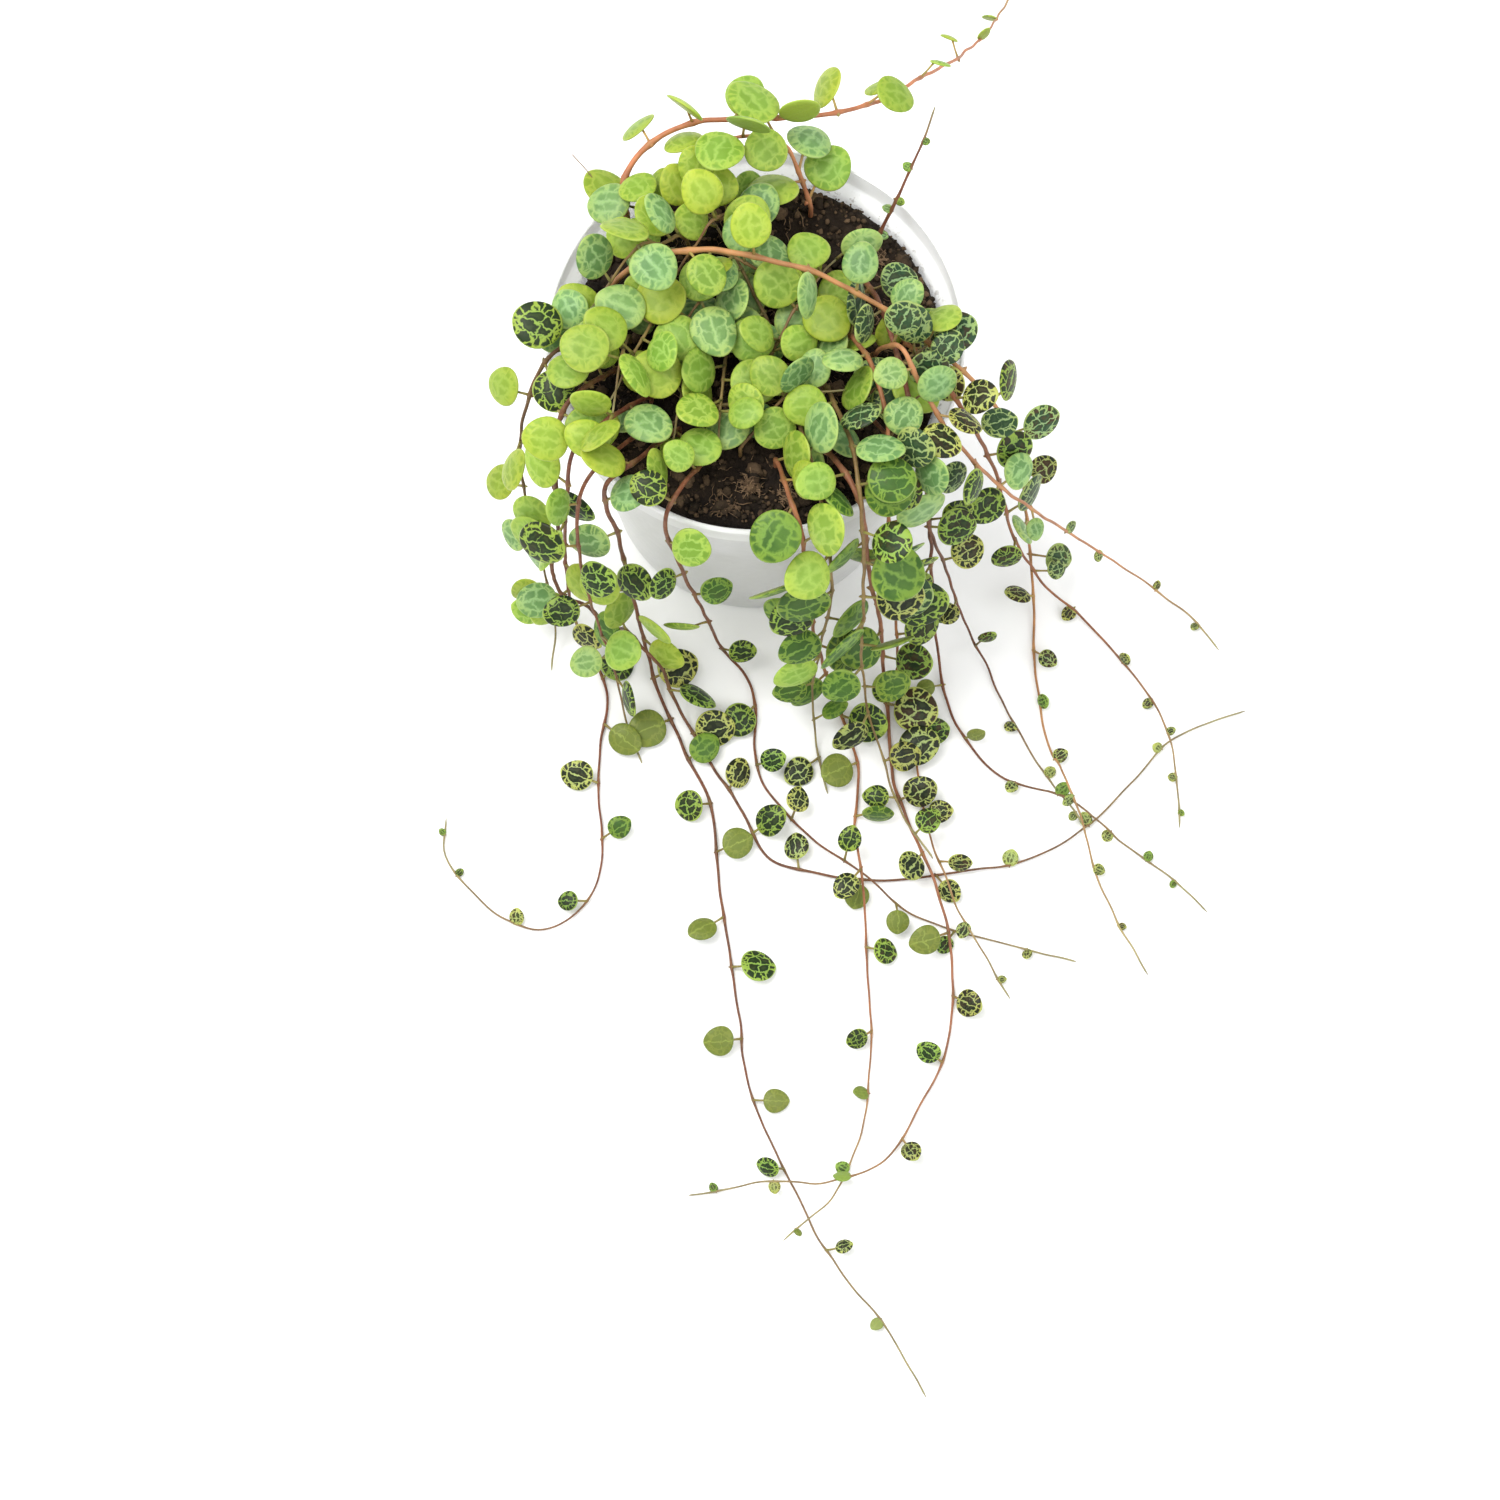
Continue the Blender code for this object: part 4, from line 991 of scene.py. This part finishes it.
def leaf_region(stem, spot):
    """The part of the plant that a leaf belongs to."""
    if stem["name"] in ("vine_back_long", "arch_back"):
        return "back"
    if math.hypot(spot.x, spot.y) < 50.0 and spot.z > POT_HEIGHT - 4.0:
        if spot.x > 16.0 - 0.15 * spot.y:
            return "mound_right"
        return "mound_left" if spot.y > 0.0 or spot.x < -24.0 else "mound_front"
    if spot.z > 12.0:
        if spot.x < -14.0:
            return "left"
        return "front" if spot.x < 36.0 else "right"
    return "ground" if spot.x < 40.0 else "ground_right"


def mixed(a, b, t):
    return tuple(blend(low, high, t) for low, high in zip(a, b))


def leaf_look(stem, leaf, chance):
    """Vein colour, blotch colour, pattern strength, brownness and whether the underside shows."""
    spot = leaf["centre"]
    weights = REGIONS[leaf_region(stem, spot)]
    vein, blotch, strength = LOOKS[chance.choices(list(weights), list(weights.values()))[0]]
    bright = chance.uniform(0.86, 1.1)
    warm = chance.uniform(0.92, 1.08)
    scale = (bright * warm, bright, bright / warm)
    vein = tuple(value * factor for value, factor in zip(vein, scale))
    blotch = tuple(value * factor for value, factor in zip(blotch, scale))
    contrast = chance.uniform(*strength)
    brown = chance.uniform(0.0, 1.0) * (0.25 + 0.75 * ramp(spot.x, 20.0, 60.0)) if contrast > 0.6 else 0.0
    if leaf["radius"] < BUD_RADIUS:
        contrast = chance.uniform(0.3, 0.8)
        brown = chance.uniform(0.3, 0.9)
    shows = 0.0
    if spot.z < 12.0:
        shows = 0.75 if stem["name"] == "vine_front_long" and spot.y < -100.0 else 0.15
    return vein, blotch, contrast, brown, chance.random() < shows


def wander(route):
    """The route with slight bends from node to node; its root stays in place."""
    result = []
    for index, point in enumerate(route):
        push = noise.noise_vector(point * STEM_WANDER_GRAIN)
        result.append(point + push * STEM_WANDER * ramp(index, 6, 14))
    return result


def fine_stem(stem, chance, materials):
    """Round stem with swollen nodes, thin stalks and plump leaves, in one piece."""
    builder = Builder()
    plain = stem["route"]
    route = wander(plain)
    last = len(route) - 1
    places = {tuple(point): index for index, point in enumerate(plain)}
    nodes = [places[tuple(leaf["root"])] for leaf in stem["leaves"]]
    tone = TONES[STEM_TONES.get(stem["name"], "olive" if stem["mound"] else "red")]
    tone = tuple(value * chance.uniform(0.9, 1.1) for value in tone)
    radii = []
    colours = []
    for index in range(len(route)):
        t = index / last
        near = min((abs(node - index) for node in nodes), default=9) * ROUTE_STEP
        swell = math.exp(-(near / 1.4) ** 2)
        thin = blend(1.0, STEM_THIN, ramp(t, 0.1, 0.8))
        radii.append(stem_radius(stem, t) * thin * (1.0 + NODE_SWELL * swell))
        colour = mixed(tone, STEM_TIP, ramp(t, 0.72, 1.0) ** 1.5)
        colours.append(mixed(colour, STALK_GREEN, 0.3 * swell * chance.random()))
    radii[-1] *= 0.45
    add_tube(builder, route, radii, STEM_AROUND, 1, colours, chance.random())
    for leaf, node in zip(stem["leaves"], nodes):
        root = route[node]
        radius = leaf["radius"]
        vein, blotch, contrast, brown, flipped = leaf_look(stem, leaf, chance)
        tag = chance.random()
        if leaf["stalk"]:
            end = root.lerp(leaf["hold"], 0.97)
            middle = root.lerp(end, 0.5) - leaf["up"] * 0.12
            path = [root, root.lerp(middle, 0.6), middle, middle.lerp(end, 0.5), end]
            size = PETIOLE_RADIUS * blend(PETIOLE_THIN, 1.0, ramp(radius, 3.0, 6.0))
            sizes = [size * 1.3, size, size * 0.92, size * 0.95, size * 1.1]
            stalk = mixed(mixed(tone, STALK_GREEN, 0.25 + 0.5 * tag), vein, 0.2)
            add_tube(builder, path, sizes, PETIOLE_AROUND, 1, [stalk] * 5, tag)
        away = root - leaf["centre"]
        nub = away.normalized() * chance.uniform(*NUB_LENGTH) * (radii[node] / 0.6)
        path = [root, root + nub * 0.6, root + nub]
        sizes = [radii[node] * 0.85, radii[node] * 0.65, radii[node] * 0.2]
        add_tube(builder, path, sizes, NUB_AROUND, 1, [mixed(tone, STALK_GREEN, tag)] * 3, tag)
        points, spots, faces = leaf_shape(leaf, chance)
        tip = leaf["tip"]
        up = leaf["up"]
        side = up.cross(tip)
        verts = [leaf["centre"] + tip * x + side * y + up * z for x, y, z in points]
        sign = -1.0 if flipped else 1.0
        place = [(u * 0.5 + 0.5, v * 0.5 + 0.5, s * sign * 0.5 + 0.5, tag) for u, v, s in spots]
        light = [(*vein, contrast)] * len(points)
        dark = [(*blotch, brown)] * len(points)
        builder.add(verts, faces, 0, place, light, dark)
    return builder.build(stem["name"] + "_fine", materials)


def fine_soil_height(x, y):
    height = soil_height(x, y)
    for grain, amount in SOIL_RELIEF:
        distances, _ = noise.voronoi(Vector((x * grain, y * grain, 1.3)))
        height += amount * (0.42 - distances[0])
        height += amount * 0.5 * noise.noise(Vector((x * grain * 1.7, y * grain * 1.7, 8.1)))
    return height


def fine_soil(material):
    """Crumbly soil body: a fine uneven top over the plain turned side and foot."""
    around = SOIL_FINE_AROUND
    verts = [Vector((0.0, 0.0, fine_soil_height(0.0, 0.0)))]
    for ring in range(1, SOIL_FINE_RINGS + 1):
        away = SOIL_RADIUS * (ring / SOIL_FINE_RINGS) ** 0.8
        for k in range(around):
            x, y = polar(away, TURN * k / around)
            drop = 1.6 * ramp(away, SOIL_RADIUS - SOIL_ROUND_EDGE, SOIL_RADIUS) ** 2
            verts.append(Vector((x, y, fine_soil_height(x, y) - drop)))
    floor = POT_WALL + SEAT_GAP
    for away, z in [(SOIL_RADIUS * 0.99, SOIL_EDGE_Z - 4.0), (SOIL_FOOT_RADIUS, floor)]:
        for k in range(around):
            verts.append(Vector((*polar(away, TURN * k / around), z)))
    faces = ring_faces(SOIL_FINE_RINGS + 2, around)
    low = 1 + (SOIL_FINE_RINGS + 1) * around
    faces.append(tuple(reversed(range(low, low + around))))
    return finish_mesh("soil_fine", verts, faces, [0] * len(faces), {}, [material])


def unit_crumb(subdivisions):
    bm = bmesh.new()
    bmesh.ops.create_icosphere(bm, subdivisions=subdivisions, radius=1.0)
    points = [vert.co.copy() for vert in bm.verts]
    faces = [tuple(vert.index for vert in face.verts) for face in bm.faces]
    bm.free()
    return points, faces


def add_crumb(builder, unit, place, size, chance, mark, roughness):
    """One angular crumb of random shape."""
    points, faces = unit
    stretch = Vector((chance.uniform(0.7, 1.4), chance.uniform(0.7, 1.3), chance.uniform(0.55, 1.0)))
    turn = Matrix.Rotation(chance.uniform(0.0, 6.28), 3, "Z") @ Matrix.Rotation(chance.random(), 3, "X")
    seed = Vector((chance.random() * 50.0, 0.0, 0.0))
    verts = []
    for point in points:
        rough = 1.0 + roughness * noise.noise(point * 1.9 + seed)
        verts.append(place + turn @ (point * stretch * size * rough))
    shade = [(chance.random(), 0.0, 0.0, 1.0)] * len(verts)
    builder.add(verts, faces, mark, [(0.0, 0.0, 0.0, 1.0)] * len(verts), shade, shade)


def soil_spot(chance, margin):
    away = (SOIL_RADIUS - margin) * math.sqrt(chance.random())
    return polar(away, chance.uniform(0.0, TURN))


def add_fibre(builder, x, y, lift, chance):
    """A thin bent fibre that lies on the soil."""
    heading = chance.uniform(0.0, TURN)
    length = chance.uniform(*FIBRE_LENGTH)
    path = []
    for k in range(6):
        t = k / 5 - 0.5
        step_x, step_y = polar(t * length, heading + chance.uniform(-0.5, 0.5))
        spot = Vector((x + step_x, y + step_y, 0.0))
        if spot.length > SOIL_RADIUS - 1.0:
            spot *= (SOIL_RADIUS - 1.0) / spot.length
        spot.z = fine_soil_height(spot.x, spot.y) + 0.1 + lift * chance.random()
        path.append(spot)
    width = chance.uniform(*FIBRE_WIDTH)
    shade = (chance.random(), 0.0, 0.0)
    add_tube(builder, path, [width] * 6, 4, 1, [shade] * 6, 0.0)


def soil_litter(chance, materials):
    """Loose crumbs, fibres, fibrous lumps and two dry shoots on the soil."""
    builder = Builder()
    small = unit_crumb(1)
    large = unit_crumb(2)
    for number in range(CRUMB_COUNT):
        if chance.random() < CRUMB_EDGE_SHARE:
            angle = chance.uniform(0.0, TURN)
            x, y = polar(SOIL_RADIUS - chance.uniform(0.3, 4.0), angle)
        else:
            x, y = soil_spot(chance, 1.2)
        big = number % 8 == 0
        size = chance.uniform(*(CRUMB_BIG if big else CRUMB_SMALL))
        place = Vector((x, y, fine_soil_height(x, y) + size * 0.2))
        if place.xy.length + size * 1.3 > SOIL_RADIUS:
            size *= 0.5
        add_crumb(builder, large if big else small, place, size, chance, 0, 0.6)
    for number in range(FIBRE_COUNT):
        x, y = soil_spot(chance, 4.0)
        add_fibre(builder, x, y, 0.5, chance)
    for x, y, size in LUMPS:
        for number in range(5):
            off_x = chance.uniform(-0.5, 0.5) * size
            off_y = chance.uniform(-0.5, 0.5) * size
            place = Vector((x + off_x, y + off_y, 0.0))
            place.z = fine_soil_height(place.x, place.y) + size * 0.2
            add_crumb(builder, large, place, size * chance.uniform(0.35, 0.6), chance, 2, 0.9)
        for number in range(LUMP_FIBRES):
            from_x = x + chance.uniform(-1.0, 1.0)
            from_y = y + chance.uniform(-1.0, 1.0)
            add_fibre(builder, from_x, from_y, size * 0.7, chance)
    hair = smooth_route([Vector(point) for point in HAIR])
    add_tube(builder, hair, [0.14] * len(hair), 5, 1, [(0.95, 0.0, 0.0)] * len(hair), 0.0)
    twig = smooth_route([Vector(point) for point in TWIG])
    sizes = [0.9 + 0.35 * noise.noise(point * 0.6) for point in twig]
    add_tube(builder, twig, sizes, 8, 0, [(0.6, 0.0, 0.0)] * len(twig), 0.0)
    return builder.build("soil_litter", materials)


# Material helpers


class Graph:
    """Short calls for building a node tree."""

    def __init__(self, name):
        self.material = bpy.data.materials.new(name)
        self.material.use_nodes = True
        self.tree = self.material.node_tree
        self.shader = self.tree.nodes["Principled BSDF"]

    def link(self, value, socket):
        if isinstance(value, bpy.types.NodeSocket):
            self.tree.links.new(value, socket)
        elif isinstance(value, tuple) and len(value) == 3 and socket.type == "RGBA":
            socket.default_value = (*value, 1.0)
        else:
            socket.default_value = value

    def plus(self, a, b):
        return self.math("ADD", a, b)

    def times(self, a, b):
        return self.math("MULTIPLY", a, b)

    def madd(self, a, b, c):
        return self.math("MULTIPLY_ADD", a, b, c)

    def math(self, operation, a, b=0.0, c=0.0):
        node = self.tree.nodes.new("ShaderNodeMath")
        node.operation = operation
        self.link(a, node.inputs[0])
        self.link(b, node.inputs[1])
        self.link(c, node.inputs[2])
        return node.outputs[0]

    def least(self, first, *others):
        for other in others:
            first = self.math("MINIMUM", first, other)
        return first

    def length(self, x, y):
        return self.math("SQRT", self.math("ADD", self.math("MULTIPLY", x, x), self.math("MULTIPLY", y, y)))

    def step(self, value, low, high, start=0.0, end=1.0):
        node = self.tree.nodes.new("ShaderNodeMapRange")
        node.interpolation_type = "SMOOTHSTEP"
        self.link(value, node.inputs["Value"])
        self.link(low, node.inputs["From Min"])
        self.link(high, node.inputs["From Max"])
        self.link(start, node.inputs["To Min"])
        self.link(end, node.inputs["To Max"])
        return node.outputs["Result"]

    def mix(self, amount, a, b, kind="MIX"):
        """Mixes two colours; a mix node keeps its colour sockets at places 6, 7 and 2."""
        node = self.tree.nodes.new("ShaderNodeMix")
        node.data_type = "RGBA"
        node.blend_type = kind
        self.link(amount, node.inputs["Factor"])
        self.link(a, node.inputs[6])
        self.link(b, node.inputs[7])
        return node.outputs[2]

    def attribute(self, name):
        node = self.tree.nodes.new("ShaderNodeAttribute")
        node.attribute_name = name
        return node.outputs["Color"], node.outputs["Alpha"]

    def split(self, colour):
        node = self.tree.nodes.new("ShaderNodeSeparateColor")
        self.link(colour, node.inputs[0])
        return node.outputs[0], node.outputs[1], node.outputs[2]

    def combine(self, x, y, z):
        node = self.tree.nodes.new("ShaderNodeCombineXYZ")
        self.link(x, node.inputs[0])
        self.link(y, node.inputs[1])
        self.link(z, node.inputs[2])
        return node.outputs[0]

    def object_place(self):
        return self.tree.nodes.new("ShaderNodeTexCoord").outputs["Object"]

    def noise(self, vector, scale, detail=2.0, roughness=0.5):
        node = self.tree.nodes.new("ShaderNodeTexNoise")
        self.link(vector, node.inputs["Vector"])
        node.inputs["Scale"].default_value = scale
        node.inputs["Detail"].default_value = detail
        node.inputs["Roughness"].default_value = roughness
        return node.outputs["Fac"]

    def voronoi(self, vector, scale, feature="F1", randomness=1.0):
        node = self.tree.nodes.new("ShaderNodeTexVoronoi")
        node.feature = feature
        self.link(vector, node.inputs["Vector"])
        node.inputs["Scale"].default_value = scale
        node.inputs["Randomness"].default_value = randomness
        return node.outputs["Distance"]

    def bump(self, height, strength, distance):
        node = self.tree.nodes.new("ShaderNodeBump")
        node.inputs["Strength"].default_value = strength
        node.inputs["Distance"].default_value = distance
        self.link(height, node.inputs["Height"])
        self.link(node.outputs["Normal"], self.shader.inputs["Normal"])

    def set(self, **values):
        names = {
            "colour": "Base Color",
            "roughness": "Roughness",
            "soft": "Subsurface Weight",
            "soft_scale": "Subsurface Scale",
            "ior": "IOR",
            "specular": "Specular IOR Level",
        }
        for key, value in values.items():
            self.link(value, self.shader.inputs[names[key]])


def leaf_material():
    """Shell pattern: a midrib, arching side veins, dark cells between and wedges to the margin."""
    g = Graph("leaf_shell_pattern")
    place, tag = g.attribute("part_place")
    pu, pv, side = g.split(place)
    light, contrast = g.attribute("part_light")
    dark, brown = g.attribute("part_dark")
    flat_u = g.madd(pu, 2.0, -1.0)
    flat_v = g.madd(pv, 2.0, -1.0)
    flat_rho = g.length(flat_u, flat_v)
    seed = g.times(tag, 61.0)
    here = g.combine(flat_u, flat_v, seed)
    there = g.combine(flat_v, flat_u, g.plus(seed, 9.0))

    u = g.plus(flat_u, g.madd(g.noise(here, 1.7, 1.0), 0.36, -0.18))
    v = g.plus(flat_v, g.madd(g.noise(there, 1.7, 1.0), 0.3, -0.15))
    for grain, reach in ((3.4, 0.2), (8.0, 0.12)):
        u = g.plus(u, g.madd(g.noise(here, grain, 1.0), reach, -0.5 * reach))
        v = g.plus(v, g.madd(g.noise(there, grain, 1.0), reach, -0.5 * reach))
    across = g.math("ABSOLUTE", v)
    rho = g.length(u, v)
    theta = g.math("ARCTAN2", v, g.plus(u, 0.12))

    arch = g.length(g.times(u, 1.5), g.times(v, 2.0))
    slant = g.plus(g.madd(across, 0.35, g.madd(tag, 0.3, -0.2)), u)
    jitter = g.times(g.math("FRACT", seed), 0.07)
    cross = g.madd(g.math("ABSOLUTE", slant), 0.8, jitter)
    inner = g.least(across, cross, g.madd(arch, -0.65, 0.65))

    wedges = g.combine(g.times(theta, 2.2), g.times(rho, 1.4), seed)
    wedge = g.times(g.voronoi(wedges, 1.0, "DISTANCE_TO_EDGE", 0.9), 0.58)
    band = g.madd(arch, 0.65, -0.65)
    outer = g.least(wedge, band, g.madd(flat_rho, -0.9, 0.89), across)
    depth = g.math("MAXIMUM", inner, outer)
    crumble = g.noise(here, 11.0, 3.0, 0.6)
    depth = g.plus(depth, g.madd(crumble, 0.08, -0.04))

    vein_width = g.step(contrast, 0.0, 1.0, 0.0, 0.014)
    softness = g.step(contrast, 0.1, 0.9, 0.2, 0.035)
    halo = g.step(depth, vein_width, g.plus(vein_width, softness))
    core = g.step(depth, g.plus(vein_width, 0.01), g.plus(vein_width, 0.05))
    halo = g.times(halo, g.step(contrast, 0.0, 0.6, 0.6, 1.0))

    margin = g.step(flat_rho, 0.35, 0.95)
    warm_light = g.mix(1.0, light, (1.05, 1.02, 0.8), "MULTIPLY")
    cool_light = g.mix(1.0, light, (0.9, 0.98, 1.12), "MULTIPLY")
    vein = g.mix(margin, cool_light, warm_light)
    middle = g.mix(0.55, vein, dark)
    patch = g.noise(here, 2.2, 2.0)
    brown_here = g.times(g.step(patch, 0.4, 0.6), brown)
    blotch = g.mix(brown_here, dark, BROWN_PATCH)
    heart = g.times(g.step(inner, 0.13, 0.2), g.step(contrast, 0.3, 0.8, 0.1, 0.12))
    blotch = g.mix(heart, blotch, middle)
    face = g.mix(halo, vein, middle)
    face = g.mix(g.times(core, halo), face, blotch)

    cloud = g.noise(here, 1.2, 2.0)
    haze = g.times(g.step(cloud, 0.3, 0.7, 0.0, 0.35), g.step(contrast, 0.3, 0.8, 1.0, 0.0))
    face = g.mix(haze, face, g.mix(1.0, light, (0.8, 0.95, 0.85), "MULTIPLY"))
    rim = g.step(flat_rho, 0.92, 0.985, 0.0, 0.7)
    face = g.mix(rim, face, g.mix(0.2, warm_light, (0.5, 0.58, 0.22)))

    under_vein = g.step(g.least(across, cross), 0.0, 0.08)
    under = g.mix(under_vein, PALE_UNDERSIDE, UNDERSIDE)
    under = g.mix(g.step(cloud, 0.35, 0.7, 0.0, 0.5), under, (0.2, 0.23, 0.05))
    under = g.mix(g.times(core, 0.55), under, (0.085, 0.12, 0.018))
    under = g.mix(g.step(contrast, 0.3, 0.7, 0.75, 0.1), under, light)
    colour = g.mix(g.step(side, 0.35, 0.6), under, face)

    fine = g.noise(here, 24.0, 2.0)
    height = g.madd(fine, 0.25, g.times(g.step(depth, 0.0, 0.12), 0.5))
    g.bump(height, 0.35, 0.00022)
    g.set(colour=colour, roughness=g.step(fine, 0.2, 0.8, 0.36, 0.48), soft=0.15, soft_scale=0.0014,
          specular=0.3, ior=1.45)
    g.shader.inputs["Subsurface Radius"].default_value = (0.5, 0.9, 0.2)
    return g.material


def stem_material():
    g = Graph("stem_skin")
    base, _ = g.attribute("part_light")
    place = g.object_place()
    streak_and_highlight = g.noise(place, 900.0, 2.0, 0.6)
    patch = g.noise(place, 170.0, 2.0)
    colour = g.mix(g.step(patch, 0.3, 0.7), g.mix(1.0, base, (0.72, 0.66, 0.66), "MULTIPLY"),
                   g.mix(1.0, base, (1.15, 1.12, 1.1), "MULTIPLY"))
    # Pale orange streaks: partly the stem's own streaks and partly painted highlights.
    colour = g.mix(g.step(streak_and_highlight, 0.35, 0.75, 0.0, 0.22), colour, (0.42, 0.24, 0.13))
    g.bump(streak_and_highlight, 0.3, 0.0002)
    g.set(colour=colour, roughness=g.step(patch, 0.2, 0.8, 0.42, 0.62), soft=0.08, soft_scale=0.0006,
          specular=0.3)
    return g.material


def pot_material():
    g = Graph("pale_thin_plastic")
    place = g.object_place()
    node = g.tree.nodes.new("ShaderNodeSeparateXYZ")
    g.link(place, node.inputs[0])
    x, y, z = node.outputs[0], node.outputs[1], node.outputs[2]
    away = g.length(x, y)
    cloud = g.noise(place, 38.0, 3.0)
    fine = g.noise(place, 420.0, 3.0, 0.65)
    base = g.mix(cloud, (0.84, 0.86, 0.87), (0.92, 0.93, 0.93))
    # Painted shade: the wall is greyed from just above the base up to the soil line, for the dark soil seen
    # through the thin plastic.
    soil_shade_zone = g.times(g.step(z, 0.072, 0.083, 1.0, 0.0), g.step(z, 0.0, 0.004))
    painted_soil_shade = g.mix(cloud, (0.5, 0.5, 0.49), (0.66, 0.66, 0.65))
    base = g.mix(g.times(soil_shade_zone, 0.4), base, painted_soil_shade)
    dust_zone = g.times(g.step(away, 0.0472, 0.0512, 1.0, 0.0), g.step(z, 0.08, 0.084))
    dust = g.times(g.step(fine, 0.52, 0.66), dust_zone)
    base = g.mix(g.times(dust, 0.7), base, (0.13, 0.09, 0.06))
    scuff = g.voronoi(place, 260.0)
    scuff = g.times(g.step(scuff, 0.06, 0.1, 1.0, 0.0), g.step(cloud, 0.5, 0.6))
    base = g.mix(g.times(scuff, 0.35), base, (0.45, 0.42, 0.38))
    rings = g.math("SINE", g.times(z, 2600.0))
    g.bump(g.madd(rings, 0.12, fine), 0.18, 0.0002)
    g.set(colour=base, roughness=g.step(fine, 0.25, 0.75, 0.3, 0.46), soft=0.85, soft_scale=0.004, ior=1.49)
    g.shader.inputs["Subsurface Radius"].default_value = (1.0, 1.0, 1.0)
    return g.material


def soil_material(name, dark, pale, light):
    """Peat; the loose bits carry a random tone that lightens them by up to the given share."""
    g = Graph(name)
    place = g.object_place()
    big = g.noise(place, 90.0, 4.0, 0.6)
    fine = g.noise(place, 900.0, 4.0, 0.7)
    grain = g.voronoi(place, 620.0)
    base = g.mix(g.step(big, 0.3, 0.7), dark, pale)
    base = g.mix(g.step(fine, 0.58, 0.8, 0.0, 0.7), base, (0.12, 0.075, 0.045))
    tone, _ = g.attribute("part_light")
    tag, _, _ = g.split(tone)
    base = g.mix(g.step(tag, 0.3, 1.0, 0.0, light), base, (0.25, 0.16, 0.09))
    g.bump(g.plus(grain, fine), 0.9, 0.0007)
    g.set(colour=base, roughness=g.step(fine, 0.2, 0.8, 0.82, 0.98), specular=0.2)
    return g.material


def floor_material():
    g = Graph("studio_floor")
    cloud = g.noise(g.object_place(), 3.0, 2.0)
    g.set(colour=g.mix(cloud, (0.93, 0.93, 0.93), (0.95, 0.95, 0.95)),
          roughness=g.step(cloud, 0.2, 0.8, 0.85, 0.95), specular=0.1)
    return g.material


def area_light(name, place, size, power, tint):
    data = bpy.data.lights.new(name, "AREA")
    data.shape = "SQUARE"
    data.size = size
    data.energy = power
    data.color = tint
    item = add_object(name, data)
    item.location = place
    item.rotation_euler = (Vector(LIGHT_AIM) - Vector(place)).to_track_quat("-Z", "Y").to_euler()


def studio():
    scene = bpy.context.scene
    world = bpy.data.worlds.new("studio")
    scene.world = world
    world.use_nodes = True
    back = world.node_tree.nodes["Background"]
    back.inputs["Color"].default_value = (1.0, 1.0, 1.0, 1.0)
    back.inputs["Strength"].default_value = WORLD_LIGHT
    for light in LIGHTS:
        area_light(*light)
    bm = bmesh.new()
    bmesh.ops.create_grid(bm, x_segments=2, y_segments=2, size=FLOOR_HALF)
    mesh = bpy.data.meshes.new("floor")
    bm.to_mesh(mesh)
    bm.free()
    mesh.materials.append(floor_material())
    add_object("floor", mesh)
    data = bpy.data.cameras.new("camera")
    data.lens = CAMERA_LENS
    data.sensor_width = SENSOR_WIDTH
    camera = add_object("camera", data)
    camera.location = Vector(CAMERA_PLACE) * MM
    camera.rotation_euler = (math.radians(CAMERA_TILT), 0.0, 0.0)
    scene.camera = camera
    scene.view_settings.view_transform = "Standard"


def main():
    studio()
    guides = [turned_pot("pot_guide", POT_PROFILE, POT_STEPS, POT_WALL, HOLE_SIDES), turned_soil()]
    stems = plan_plant(*[tree_of_object(guide) for guide in guides])
    remove_objects(guides)
    chance = random.Random(SEED + LOOKS_SEED)
    leaf = leaf_material()
    skin = stem_material()
    for stem in stems:
        piece = fine_stem(stem, chance, [leaf, skin])
        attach(piece, "root")
        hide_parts(stem["name"])
    pot = turned_pot("pot_fine", FINE_POT_PROFILE, FINE_POT_STEPS, FINE_POT_WALL, FINE_HOLE_SIDES)
    pot.data.shade_smooth()
    pot.data.set_sharp_from_angle(angle=SHARP_ANGLE)
    pot.data.materials.clear()
    pot.data.materials.append(pot_material())
    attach(pot, "root")
    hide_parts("pot")
    soil = fine_soil(soil_material("peat", (0.006, 0.004, 0.003), (0.032, 0.021, 0.013), 0.0))
    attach(soil, "root")
    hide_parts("soil")
    crumbs = soil_material("peat_crumbs", (0.008, 0.006, 0.004), (0.045, 0.03, 0.018), 0.5)
    fibres = soil_material("fibres", (0.1, 0.06, 0.035), (0.3, 0.2, 0.12), 0.9)
    lumps = soil_material("fibrous_lumps", (0.02, 0.012, 0.007), (0.09, 0.055, 0.03), 0.4)
    litter = soil_litter(chance, [crumbs, fibres, lumps])
    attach(litter, "root")


main()
